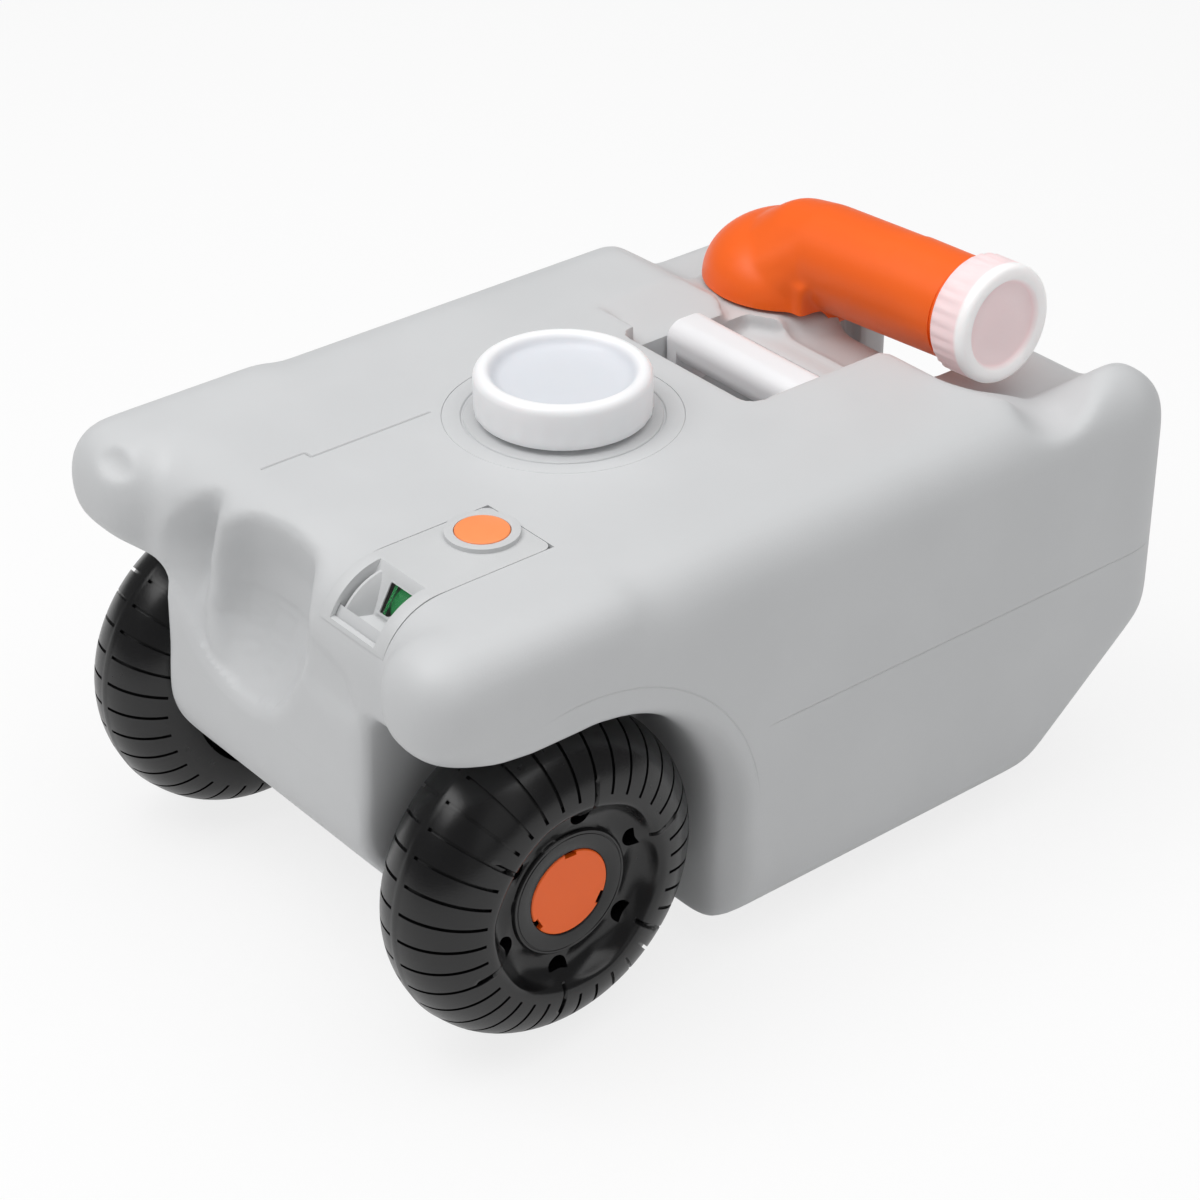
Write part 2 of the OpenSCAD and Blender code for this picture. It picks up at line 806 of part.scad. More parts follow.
module filler_cap() {
    inner_z = filler_top_z + filler_seal_t;
    color("white") filler_place() rotate_extrude() difference() {
        union() {
            translate([0, filler_cap_z]) square([filler_cap_r - filler_rim / 2, filler_cap_h]);
            translate([0, filler_cap_z]) square([filler_cap_r, filler_cap_h - filler_rim / 2]);
            translate([filler_cap_r - filler_rim / 2, filler_cap_top_z - filler_rim / 2])
                circle(r = filler_rim / 2);
        }
        translate([0, filler_cap_z - over]) square([filler_neck_r + slack, inner_z - filler_cap_z + over]);
        translate([0, filler_dish_z]) square([filler_cap_r - filler_rim, filler_cap_h]);
    }
}

module filler_cap_seal() {
    color("dimgray") filler_place()
        ring(filler_r + filler_seal_in, filler_neck_r, filler_top_z, filler_seal_t);
}

module spout_body() {
    difference() {
        union() {
            spout_place() translate([0, 0, spout_foot_z]) cylinder(r = elbow_r, h = elbow_skirt_h);
            spout_place() intersection() {
                translate([0, 0, dome_z + dome_h - dome_r]) sphere(r = dome_r);
                translate([0, 0, spout_foot_z]) cylinder(r = elbow_r, h = far);
            }
            tube_place() translate([0, 0, tube_start]) {
                sphere(r = tube_r);
                cylinder(r = tube_r, h = tube_l - tube_start);
                cylinder(r = tube_r - slack, h = tube_l + spigot_l - tube_start);
            }
        }
        // Bearing on the neck, groove for the ring, and the waterway
        spout_place() translate([0, 0, spout_foot_z - over])
            cylinder(r = spout_neck_r + snug, h = elbow_inner_z - spout_foot_z + over);
        spout_place() translate([0, 0, ring_z - slack]) cylinder(r = ring_r + slack, h = ring_h + 2 * slack);
        spout_place() translate([0, 0, elbow_inner_z - over])
            cylinder(r = tube_bore_r, h = tube_z - elbow_inner_z + over);
        tube_place() translate([0, 0, tube_start]) {
            sphere(r = tube_bore_r);
            cylinder(r = tube_bore_r, h = far);
        }
    }
}

// Side of the joint between elbow and tube that lies towards the tube's end
module past_joint() {
    tube_place() translate([-far, -far, tube_joint]) cube(2 * far);
}

module spout_elbow() {
    color("darkorange") difference() {
        spout_body();
        past_joint();
    }
}

module spout_tube() {
    color("darkorange") intersection() {
        spout_body();
        past_joint();
    }
}

module spout_retaining_ring() {
    color("ivory") spout_place() ring(spout_neck_r, ring_r, ring_z, ring_h);
}

module spout_seal() {
    color("dimgray") spout_place()
        ring(spout_bore_r, spout_neck_r, spout_neck_top_z, spout_seal_t - slack);
}

module spout_cap() {
    inner = spigot_l + spout_cap_seal_t;
    color("white") tube_place() translate([0, 0, tube_l + slack]) rotate_extrude() difference() {
        square([spout_cap_r, spout_cap_l]);
        translate([0, -over]) square([tube_r, inner + over - slack]);
        translate([0, spout_cap_l - spout_cap_dish]) square([spout_cap_r - spout_cap_rim, spout_cap_l]);
    }
}

module spout_cap_seal() {
    color("dimgray") tube_place()
        ring(tube_bore_r, tube_r - slack, tube_l + spigot_l, spout_cap_seal_t);
}

// Outline of the strip seen from the side: a flat and a bend over the front edge
module strip_side() {
    translate([bend_y, bed_z]) square([strip_rear_y - bend_y, strip_t]);
    intersection() {
        translate([bend_y, bend_z]) difference() {
            circle(r = edge_r);
            circle(r = edge_r - strip_t);
        }
        polygon([[bend_y, bend_z], [bend_y, bend_z + 2 * edge_r],
                 [bend_y - 2 * edge_r, bend_z + 2 * edge_r],
                 strip_end_far]);
    }
}

// Local +Z looks out of the gauge window, square to its pane
module window_place() {
    translate([flag_x, pivot_y, pivot_z]) rotate([window_turn, 0, 0]) children();
}

// Side view of what lies in front of the window, from a given reach
module before_window(reach) {
    across = [-sin(window_turn), cos(window_turn)];
    along = [cos(window_turn), sin(window_turn)];
    base = [pivot_y, pivot_z] + reach * across;
    polygon([base - far * along, base + far * along, base + far * along + far * across,
             base - far * along + far * across]);
}

// The pocket over the gauge window, open to the front and top
module gauge_pocket() {
    along_x(pod_x - pod_w / 2 + pod_wall, pod_x + pod_w / 2 - pod_wall) intersection() {
        before_window(window_reach + window_t);
        translate([bow_y - far, gauge_floor_z]) square([2 * far, far]);
    }
}

module control_strip() {
    color("#c9cccd") difference() {
        union() {
            along_x(strip_left, strip_left + strip_w) strip_side();
            translate([button_x, button_y, bed_z])
                cylinder(r = button_r + collar_w, h = strip_t + collar_h);
            // Pod under the bend, filled where the pane sits
            along_x(pod_x - pod_w / 2, pod_x + pod_w / 2) intersection() {
                translate([pod_front_y, pod_floor_z])
                    square([pod_rear_y - pod_front_y, deck_z - pod_floor_z]);
                union() {
                    translate([bend_y, bend_z]) circle(r = edge_r - strip_t / 2);
                    translate([bend_y, pod_floor_z])
                        square([edge_r, bed_z + strip_t / 2 - pod_floor_z]);
                    translate([pod_front_y, pod_floor_z])
                        square([bend_y - pod_front_y, bend_z - pod_floor_z]);
                }
            }
        }
        gauge_pocket();
        // Room for the flag and the lever inside the pod, and the pane's opening
        along_x(pod_x - pod_w / 2 + pod_wall, pod_x + pod_w / 2 - pod_wall) difference() {
            translate([pod_front_y + pod_wall, pod_floor_z - over])
                square([pod_rear_y - pod_front_y - 2 * pod_wall, bed_z - slack - pod_floor_z + over]);
            before_window(window_reach - window_t);
            translate([pod_front_y, gauge_floor_z - pod_wall])
                square([bend_y - edge_r / 2 - pod_front_y, far]);
        }
        window_place()
            translate([-window_w / 2 - slack, -window_h / 2 - slack, window_reach - window_t - over])
            cube([window_w + 2 * slack, window_h + 2 * slack, edge_r]);
        rod_x(pod_x - pod_w / 2 - over, pod_x + pod_w / 2 + over, pivot_y, pivot_z, pin_r + snug);
        box([lever_x - lever_w / 2 - lever_gap, pivot_y, pod_floor_z - over],
            [lever_x + lever_w / 2 + lever_gap, pod_rear_y + over, pivot_z + flag_hub_r + over]);
        // Round corners of the rear end, and the button's hole
        translate([0, 0, bed_z - over]) linear_extrude(strip_t + 2 * over) difference() {
            translate([strip_left - over, strip_rear_y - strip_corner_r])
                square([strip_w + 2 * over, strip_corner_r + over]);
            round_plan([strip_left, strip_rear_y - strip_w],
                       [strip_left + strip_w, strip_rear_y], strip_corner_r);
        }
        translate([button_x, button_y, bed_z - over]) cylinder(r = button_r + slack, h = far);
    }
}

module vent_button() {
    color("darkorange") translate([button_x, button_y, 0]) {
        translate([0, 0, button_under_z]) cylinder(r = button_r, h = button_cap_h);
        translate([0, 0, valve_z - valve_t]) cylinder(r = stem_r, h = button_under_z - valve_z + valve_t);
    }
}

// Gap between the curls of the spring, then one tube swept along the coil
echo(spring_gap = spring_pitch - spring_wire);

function spring_point(i, k) =
    let (turn = 360 * i / spring_steps,
         round = 360 * k / spring_sides,
         r = spring_r + spring_wire / 2 * cos(round))
    [r * cos(turn), r * sin(turn),
     spring_low + (spring_high - spring_low) * i / spring_count + spring_wire / 2 * sin(round)];

module vent_spring() {
    points = [for (i = [0 : spring_count], k = [0 : spring_sides - 1]) spring_point(i, k)];
    n = spring_sides;
    skin = [for (i = [0 : spring_count - 1], k = [0 : n - 1], half = [0, 1])
            let (a = i * n + k, b = i * n + (k + 1) % n)
            half == 0 ? [a, b, a + n] : [b, b + n, a + n]];
    first = [for (k = [1 : n - 2]) [0, k + 1, k]];
    last = [for (k = [1 : n - 2]) [spring_count * n, spring_count * n + k, spring_count * n + k + 1]];
    color("silver") translate([button_x, button_y, 0]) polyhedron(points, concat(skin, first, last));
}

module vent_valve() {
    color("ivory") translate([button_x, button_y, 0])
        ring(stem_r + snug, valve_r, valve_z - valve_t, valve_t);
}

module vent_valve_seal() {
    color("dimgray") translate([button_x, button_y, 0])
        ring(vent_hole_r, valve_r, valve_z, valve_seal_t - slack);
}

module gauge_window() {
    color("#e6f2ee") window_place() translate([-window_w / 2, -window_h / 2, window_reach - window_t])
        cube([window_w, window_h, 2 * window_t]);
}

// The flag is a drum that turns behind the pane, with a flat on its far side
module gauge_flag() {
    color("green") translate([flag_x - flag_w / 2, pivot_y, pivot_z]) rotate([0, 90, 0]) difference() {
        union() {
            cylinder(r = flag_hub_r, h = flag_w);
            linear_extrude(flag_w) difference() {
                circle(r = flag_r - slack);
                rotate(window_turn) translate([flag_hub_r / 2, -flag_r]) square([2 * flag_r, 2 * flag_r]);
            }
        }
        translate([0, 0, -over]) cylinder(r = pin_r + snug, h = flag_w + 2 * over);
    }
}

module gauge_pin() {
    color("silver") rod_x(pod_x - pod_w / 2, pod_x + pod_w / 2, pivot_y, pivot_z, pin_r);
}

module float_place() {
    translate([0, pivot_y, pivot_z]) rotate([-float_drop, 0, 0]) children();
}

module float_arm() {
    color("ivory") difference() {
        union() {
            rod_x(lever_x - lever_w / 2 - lever_hub_over, flag_x - flag_w / 2, pivot_y, pivot_z,
                  flag_hub_r);
            float_place() translate([lever_x - lever_w / 2, 0, -lever_w / 2])
                cube([lever_w, float_arm_l - float_d / 2 + over, lever_w]);
        }
        rod_x(lever_x - far, lever_x + far, pivot_y, pivot_z, pin_r + snug);
        rod_x(lever_x - far, lever_x + far, pivot_y + float_end_y, pivot_z + float_end_z, float_d / 2);
    }
}

module gauge_float() {
    color("white") rod_x(lever_x - float_w / 2, lever_x + float_w / 2,
                         pivot_y + float_end_y, pivot_z + float_end_z, float_d / 2);
}

// Section of the carrying bar, in the YZ plane
module bar_section(drop) {
    round_plan([bar_y - bar_w / 2, bar_top_z - bar_h - drop], [bar_y + bar_w / 2, bar_top_z], bar_round);
}

module carry_handle() {
    half = pocket_w / 2 - bar_gap;
    color("whitesmoke") {
        along_x(-half, half) bar_section(0);
        for (side = [-1, 1])
            along_x(side < 0 ? -half : half - cheek_t, side < 0 ? cheek_t - half : half)
                bar_section(cheek_drop);
        rod_x(-half - spigot_in + end_cap_t, half + spigot_in - end_cap_t,
              bar_y, bar_top_z - bar_h / 2, spigot_r);
    }
}

// Plugs that hold the ends of the bar in their sockets
module handle_end_caps() {
    half = pocket_w / 2 - bar_gap + spigot_in - end_cap_t;
    color("ivory") for (side = [-1, 1])
        rod_x(side < 0 ? -half - end_cap_t : half, side < 0 ? -half : half + end_cap_t,
              bar_y, bar_top_z - bar_h / 2, spigot_r);
}

tank_body();
tank_deck();
tank_pocket();
tank_rear();
filler_neck();
axle();
left_wheel();
right_wheel();
left_wheel_bush();
right_wheel_bush();
left_hub_cap();
right_hub_cap();
thrust_washers();
axle_clips();
filler_cap();
filler_cap_seal();
spout_elbow();
spout_tube();
spout_retaining_ring();
spout_seal();
spout_cap();
spout_cap_seal();
control_strip();
vent_button();
vent_spring();
vent_valve();
vent_valve_seal();
gauge_window();
gauge_flag();
gauge_pin();
float_arm();
gauge_float();
carry_handle();
handle_end_caps();
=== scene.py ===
import math
import bpy
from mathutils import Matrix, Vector


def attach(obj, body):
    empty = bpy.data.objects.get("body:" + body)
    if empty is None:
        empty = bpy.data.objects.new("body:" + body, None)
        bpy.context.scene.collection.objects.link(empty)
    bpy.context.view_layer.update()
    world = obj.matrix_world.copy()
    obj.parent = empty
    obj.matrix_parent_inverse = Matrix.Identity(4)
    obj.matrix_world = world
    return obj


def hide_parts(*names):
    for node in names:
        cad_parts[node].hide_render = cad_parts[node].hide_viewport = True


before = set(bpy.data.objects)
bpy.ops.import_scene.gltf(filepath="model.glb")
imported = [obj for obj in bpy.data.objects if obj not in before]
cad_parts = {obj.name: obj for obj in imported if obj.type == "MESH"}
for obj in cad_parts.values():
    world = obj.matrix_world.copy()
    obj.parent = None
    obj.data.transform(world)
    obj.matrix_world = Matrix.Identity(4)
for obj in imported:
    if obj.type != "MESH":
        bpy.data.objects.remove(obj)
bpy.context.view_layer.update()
MM = 0.001

# Sizes and places, in millimetres: (y, z) for the axle and the bow, (x, y) for the spout, filler and vent
HALF = 150
DECK = 223.5
AXLE = (-150, 80)
WELL_R = 88
WELL_X = 79.8
SPOUT = (-66, 162)
FILLER = (0, -39.5)
WHEEL_X = 117.3
HUB = Vector((WHEEL_X, *AXLE))
WALL = 5
FLARE = 16
FRONT = -216
CORNER_R = 32
BOW = (-181, DECK - CORNER_R)
SHELF_Z = 195
SEAT_Z = 206.5
SEAT_R = 46
SPOUT_Z = 208.5
TUBE_Z = 231
TILT = math.radians(2.9)
VENT = (63.5, -136)
BAR = (0, 77, 208)
CLEAR = 270
TANK_NODES = ("tank_body", "tank_deck", "tank_pocket", "tank_rear")


# Finishes: shader maths as plain expressions

class Value:
    """A socket of a finish, so that maths on it reads as an expression."""

    def __init__(self, finish, socket):
        self.finish = finish
        self.socket = socket

    def maths(self, operation, other=None, swapped=False):
        pair = {0: self} if other is None else {0: self, 1: other}
        if swapped:
            pair = {0: other, 1: self}
        return self.finish.node("ShaderNodeMath", {"operation": operation}, pair)

    def __add__(self, other):
        return self.maths("ADD", other)

    def __radd__(self, other):
        return self.maths("ADD", other)

    def __sub__(self, other):
        return self.maths("SUBTRACT", other)

    def __rsub__(self, other):
        return self.maths("SUBTRACT", other, True)

    def __mul__(self, other):
        return self.maths("MULTIPLY", other)

    def __rmul__(self, other):
        return self.maths("MULTIPLY", other)

    def __pow__(self, other):
        return self.maths("POWER", other)

    def __abs__(self):
        return self.maths("ABSOLUTE")

    def most(self, other):
        return self.maths("MAXIMUM", other)

    def fade(self, start, end):
        """0 at start, 1 at end, soft in between."""
        return self.finish.node("ShaderNodeMapRange", {"interpolation_type": "SMOOTHSTEP"},
                                {"Value": self, "From Min": start, "From Max": end})

    def line(self, place, half):
        """1 where the value is at the place, falling to 0 within half on either side."""
        return 1 - abs(self - place).fade(0.0, half)


class Finish:
    """A material, and the one way to add a node to it."""

    def __init__(self, name):
        self.material = bpy.data.materials.new(name)
        self.material.use_nodes = True
        self.tree = self.material.node_tree
        self.shader = self.tree.nodes["Principled BSDF"]
        self.place = self.node("ShaderNodeTexCoord", out="Object")

    def feed(self, socket, value):
        if isinstance(value, Value):
            self.tree.links.new(value.socket, socket)
        else:
            socket.default_value = value

    def node(self, kind, settings=None, sockets=None, out=0):
        made = self.tree.nodes.new(kind)
        for key, value in (settings or {}).items():
            setattr(made, key, value)
        for key, value in (sockets or {}).items():
            self.feed(made.inputs[key], value)
        return Value(self, made.outputs[out])

    def set(self, sockets):
        for key, value in sockets.items():
            self.feed(self.shader.inputs[key], value)

    def noise(self, scale, detail=2.0, roughness=0.5):
        return self.node("ShaderNodeTexNoise", {},
                         {"Vector": self.place, "Scale": scale, "Detail": detail, "Roughness": roughness})

    def mix(self, factor, first, second):
        return self.node("ShaderNodeMix", {"data_type": "RGBA"}, {0: factor, 6: first, 7: second}, 2)

    def bump(self, height, strength, distance):
        return self.node("ShaderNodeBump", {}, {"Height": height, "Strength": strength, "Distance": distance})

    def axes(self):
        split = self.tree.nodes.new("ShaderNodeSeparateXYZ")
        self.feed(split.inputs[0], self.place)
        return [Value(self, split.outputs[i]) for i in range(3)]


GRAIN_M = 0.0006


def moulded(name, pale, deep, rough, grain=1100.0, bump=0.06, cloud=14.0):
    """A moulded plastic: cloudy colour, fine grain and a roughness that wanders a little.

    The finish keeps its colour and grain, for finishes that build on it.
    """
    finish = Finish(name)
    clouds = finish.noise(cloud, 3.0)
    finish.fine = finish.noise(grain, 2.0, 0.6)
    scuffs = finish.noise(190.0, 4.0, 0.65)
    finish.tone = finish.mix(clouds.fade(0.35, 0.7), deep, pale)
    finish.set({"Base Color": finish.tone,
                "Roughness": rough + 0.10 * (scuffs - 0.5) + 0.05 * (clouds - 0.5),
                "Normal": finish.bump(finish.fine, bump, GRAIN_M)})
    return finish


def away(first, second):
    """Distance from an axis, from the two offsets across it."""
    return (first * first + second * second) ** 0.5


def tank_finish():
    """Grey blow-moulded shell: fine matt grain, mould lines and the groove line in the deck."""
    pale, deep = (0.590, 0.598, 0.606, 1), (0.572, 0.580, 0.588, 1)
    finish = moulded("tank_grey", pale, deep, 0.46)
    x, y, z = finish.axes()
    on_deck = z.fade(0.2205, 0.2225)
    first = y.fade(-0.1785, -0.1775) * (1 - y.fade(-0.155, -0.153))
    second = y.fade(-0.155, -0.153) * (1 - y.fade(-0.087, -0.086))
    jog = y.line(-0.154, 0.0012) * x.fade(-0.0462, -0.0452) * (1 - x.fade(-0.0408, -0.0398))
    deck_line = on_deck * (x.line(-0.0405, 0.0009) * second).most(x.line(-0.0455, 0.0009) * first).most(jog)
    on_side = abs(x).fade(0.1465, 0.1485)
    seam = z.line(0.127, 0.0006) * on_side * y.fade(-0.045, -0.035)
    from_axle = away(y - AXLE[0] * MM, z - AXLE[1] * MM)
    arch = from_axle.line(0.1045, 0.0006) * on_side * y.fade(-0.175, -0.155) * z.fade(0.09, 0.11)
    lines = deck_line.most(seam * 0.5).most(arch * 0.4)
    finish.set({"Base Color": finish.mix(lines * 0.35, finish.tone, (0.36, 0.365, 0.37, 1)),
                "Specular IOR Level": 0.42,
                "Normal": finish.bump(finish.fine * 0.06 - lines * 0.9, 1.0, GRAIN_M)})
    return finish


def white_finish(name, white):
    """White plastic that lets a little light in."""
    finish = moulded(name, white, white, 0.34, 900.0, 0.03, 30.0)
    finish.set({"Subsurface Weight": 0.25, "Subsurface Radius": (0.008, 0.006, 0.006),
                "Subsurface Scale": 0.5})
    return finish


def cap_finish():
    """White filler cap with a bluish dish of painted shade, and a faint painted glow."""
    white, painted_shade_blue = (0.88, 0.88, 0.89, 1), (0.66, 0.675, 0.715, 1)
    finish = white_finish("cap_white", white)
    x, y, z = finish.axes()
    out = away(x - FILLER[0] * MM, y - FILLER[1] * MM)
    # The darker bluish dish is painted shade in the hollow; the emission below is a painted glow.
    in_dish = (1 - out.fade(0.0325, 0.0365)) * z.fade(0.2395, 0.2405)
    tone = finish.mix(in_dish.most(0.2 * finish.noise(60.0, 2.0)), white, painted_shade_blue)
    finish.set({"Base Color": tone, "Emission Color": tone, "Emission Strength": 0.05})
    return finish


def pink_finish():
    """Translucent spout cap: the orange light coming through it is painted as a pink tint on the skirt and
    the dish, with a painted glow; the thick rim stays white.
    """
    white, pink = (0.93, 0.91, 0.91, 1), (0.90, 0.68, 0.69, 1)
    finish = white_finish("spout_cap_white", white)
    x, y, z = finish.axes()
    right, high = x - SPOUT[0] * MM, z - TUBE_Z * MM
    along = right * math.cos(TILT) + high * math.sin(TILT)
    up = high * math.cos(TILT) - right * math.sin(TILT)
    out = away(up, y - SPOUT[1] * MM)
    rim = along.fade(0.1475, 0.1505) * out.fade(0.0205, 0.0235)
    tone = finish.mix(rim.most(0.25 * finish.noise(60.0, 2.0)), pink, white)
    # Pink tint and emission are painted light: the orange shining through, and a glow.
    finish.set({"Base Color": tone, "Emission Color": tone, "Emission Strength": 0.10})
    return finish


def flag_finish():
    """Green drum of the gauge, with a painted glow so that it shows behind the pane."""
    pale, deep = (0.014, 0.27, 0.07, 1), (0.012, 0.24, 0.062, 1)
    finish = moulded("flag_green", pale, deep, 0.35)
    # The emission is a painted glow, in place of light that hardly reaches the drum.
    finish.set({"Emission Color": finish.mix(finish.noise(40.0), pale, deep),
                "Emission Strength": 0.4})
    return finish


def steel_finish():
    finish = Finish("axle_steel")
    brushed = finish.noise(600.0, 3.0)
    finish.set({"Base Color": finish.mix(brushed, (0.52, 0.52, 0.53, 1), (0.60, 0.60, 0.61, 1)),
                "Metallic": 1.0, "Roughness": 0.22 + 0.12 * brushed})
    return finish


def pane_finish():
    finish = Finish("pane_clear")
    haze = finish.noise(300.0, 3.0)
    finish.set({"Base Color": (0.96, 0.98, 0.97, 1), "Roughness": 0.05 + 0.06 * haze,
                "Transmission Weight": 1.0, "IOR": 1.45})
    return finish


FINISHES = {
    "tank": tank_finish(),
    "strip": moulded("strip_grey", (0.590, 0.598, 0.604, 1), (0.570, 0.578, 0.584, 1), 0.42),
    "tyre": moulded("wheel_black",
                    (0.0065, 0.0065, 0.007, 1), (0.0045, 0.0045, 0.005, 1), 0.25, 1500.0, 0.08, 25.0),
    "orange": moulded("spout_orange",
                      (0.97, 0.140, 0.006, 1), (0.94, 0.128, 0.005, 1), 0.40, 1300.0, 0.05, 18.0),
    "cap": cap_finish(),
    "button": moulded("button_orange",
                      (0.98, 0.30, 0.10, 1), (0.95, 0.27, 0.085, 1), 0.36, 1300.0, 0.05, 18.0),
    "spout_cap": pink_finish(),
    "bar": moulded("bar_white", (0.84, 0.835, 0.85, 1), (0.81, 0.805, 0.82, 1), 0.38),
    # Near black, used only as painted shade at the gauge window's left edge.
    "dark": moulded("painted_shade_black", (0.012, 0.010, 0.009, 1), (0.008, 0.007, 0.006, 1), 0.3),
    "seal": moulded("seal_rubber", (0.03, 0.03, 0.03, 1), (0.02, 0.02, 0.02, 1), 0.6),
    "bush": moulded("bush_ivory", (0.70, 0.67, 0.58, 1), (0.62, 0.59, 0.50, 1), 0.4),
    "green": flag_finish(),
    "foam": moulded("float_foam", (0.66, 0.64, 0.58, 1), (0.58, 0.56, 0.50, 1), 0.7, 500.0, 0.3, 60.0),
    "steel": steel_finish(),
    "pane": pane_finish(),
}


def dress(piece, finish):
    piece.data.materials.clear()
    piece.data.materials.append(FINISHES[finish].material)


# Making pieces

def fresh():
    """Back to object mode with nothing selected."""
    if bpy.context.object and bpy.context.object.mode != "OBJECT":
        bpy.ops.object.mode_set(mode="OBJECT")
    bpy.ops.object.select_all(action="DESELECT")


def settle(name):
    """Puts the active object's place, turn and size into its mesh and names it."""
    bpy.ops.object.transform_apply(location=True, rotation=True, scale=True)
    piece = bpy.context.object
    piece.name = name
    piece.data.name = name
    return piece


def pick(*pieces):
    fresh()
    for piece in pieces:
        piece.select_set(True)
    bpy.context.view_layer.objects.active = pieces[0]


def edit(piece):
    pick(piece)
    bpy.ops.object.mode_set(mode="EDIT")
    bpy.ops.mesh.select_all(action="SELECT")


def leave():
    bpy.ops.object.mode_set(mode="OBJECT")


def metres(point):
    return Vector(point) * MM


def block(name, low, high):
    fresh()
    low, high = metres(low), metres(high)
    bpy.ops.mesh.primitive_cube_add(size=1, location=(low + high) / 2, scale=high - low)
    return settle(name)


def drum(name, middle, radius, length, axis="Z", sides=96, end_radius=None):
    """A cylinder, or a cone where the far end has its own radius."""
    fresh()
    turn = {"X": (0, math.pi / 2, 0), "Z": (0, 0, 0)}[axis]
    end = radius if end_radius is None else end_radius
    bpy.ops.mesh.primitive_cone_add(vertices=sides, radius1=radius * MM, radius2=end * MM, depth=length * MM,
                                    location=metres(middle), rotation=turn)
    return settle(name)


def hull(name, balls):
    """The skin stretched over balls, each a place and a radius."""
    made = []
    for place, radius in balls:
        fresh()
        bpy.ops.mesh.primitive_uv_sphere_add(segments=32, ring_count=16, radius=radius * MM,
                                             location=metres(place))
        made.append(bpy.context.object)
    pick(*made)
    bpy.ops.object.join()
    piece = settle(name)
    edit(piece)
    bpy.ops.mesh.convex_hull()
    leave()
    return piece


def outline(name, points):
    """A chain of edges through the points, drawn from one vertex; stays in edit mode."""
    fresh()
    bpy.ops.mesh.primitive_plane_add(size=MM, location=points[0])
    piece = settle(name)
    edit(piece)
    bpy.ops.mesh.merge(type="CENTER")
    for here, there in zip(points, points[1:]):
        bpy.ops.mesh.extrude_region_move(TRANSFORM_OT_translate={"value": there - here})
    bpy.ops.mesh.select_all(action="SELECT")
    return piece


def prism(name, points, run):
    """A flat outline in millimetres, filled and drawn out along run."""
    piece = outline(name, [metres(p) for p in points])
    bpy.ops.mesh.edge_face_add()
    bpy.ops.mesh.extrude_region_move(TRANSFORM_OT_translate={"value": metres(run)})
    bpy.ops.mesh.select_all(action="SELECT")
    bpy.ops.mesh.normals_make_consistent(inside=False)
    leave()
    return piece


def lathe(name, profile, centre=(0, 0, 0), axis=(0, 0, 1), side=(1, 0, 0), steps=96):
    """Turns a profile of (radius, height) points about an axis."""
    centre, axis, side = metres(centre), Vector(axis).normalized(), Vector(side).normalized()
    points = [centre + axis * (h * MM) + side * (r * MM) for r, h in profile]
    piece = outline(name, points)
    bpy.ops.mesh.spin(steps=steps, angle=2 * math.pi, center=centre, axis=axis)
    bpy.ops.mesh.select_all(action="SELECT")
    bpy.ops.mesh.remove_doubles(threshold=0.00002)
    bpy.ops.mesh.normals_make_consistent(inside=False)
    leave()
    return piece


def rework(piece, kind, **settings):
    """Adds a modifier, sets it and applies it."""
    pick(piece)
    change = piece.modifiers.new(kind.lower(), kind)
    for key, value in settings.items():
        setattr(change, key, value)
    bpy.ops.object.modifier_apply(modifier=change.name)


def carve(piece, tool, operation="DIFFERENCE"):
    rework(piece, "BOOLEAN", object=tool, operation=operation, solver="EXACT")
    bpy.data.objects.remove(tool)


def carve_all(piece, tools):
    for tool in tools:
        carve(piece, tool)


def unite(*pieces):
    """Loose pieces joined into one object, without a boolean."""
    pick(*pieces)
    bpy.ops.object.join()
    return bpy.context.object


def soften(piece, voxel, rounds):
    """A new even skin, smoothed so that its edges turn soft."""
    rework(piece, "REMESH", mode="VOXEL", voxel_size=voxel * MM, use_smooth_shade=True)
    rework(piece, "SMOOTH", factor=0.5, iterations=rounds)


def smooth(piece, angle):
    pick(piece)
    bpy.ops.object.shade_smooth_by_angle(angle=math.radians(angle))


def choose(piece, wanted):
    """Edit mode, with the vertices selected that a test picks."""
    fresh()
    for vertex in piece.data.vertices:
        vertex.select = wanted(vertex.co)
    for part in list(piece.data.edges) + list(piece.data.polygons):
        part.select = all(piece.data.vertices[i].select for i in part.vertices)
    pick(piece)
    bpy.ops.object.mode_set(mode="EDIT")
    bpy.ops.mesh.select_mode(type="VERT")


def pushed(piece, wanted, depth, rounds=0):
    """Pushes the vertices that a test picks along their normals, and evens them out."""
    choose(piece, wanted)
    if depth:
        bpy.ops.transform.shrink_fatten(value=depth * MM)
    if rounds:
        bpy.ops.mesh.vertices_smooth(factor=0.5, repeat=rounds)
    leave()


def arc(middle, radius, start, end, count):
    """Points on an arc in a plane, by angle in degrees."""
    turns = [math.radians(start + (end - start) * i / count) for i in range(count + 1)]
    return [(middle[0] + radius * math.cos(t), middle[1] + radius * math.sin(t)) for t in turns]


def place(piece, body, finish, *nodes):
    """Gives a finished piece its finish and its body, in place of the nodes that it stands for."""
    dress(piece, finish)
    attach(piece, body)
    if nodes:
        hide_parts(*nodes)


def eased(node, name, width):
    """A copy of a node's own shape with its edges broken."""
    pick(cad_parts[node])
    bpy.ops.object.duplicate()
    piece = settle(name)
    edit(piece)
    bpy.ops.mesh.remove_doubles(threshold=0.00001)
    bpy.ops.mesh.dissolve_limited(angle_limit=math.radians(1))
    leave()
    rework(piece, "BEVEL", width=width * MM, segments=3, limit_method="ANGLE", angle_limit=math.radians(40),
           use_clamp_overlap=True)
    smooth(piece, 40)
    return piece


# Tank

def skin_balls(inset):
    """Corner balls of the block that the shell is drawn over."""
    places = [(-138, 44.5), (-185, 105), BOW, (198, BOW[1]), (198, 95.5), (134, 44.5)]
    return [((side * (HALF - CORNER_R), y, z), CORNER_R - inset) for side in (-1, 1) for y, z in places]


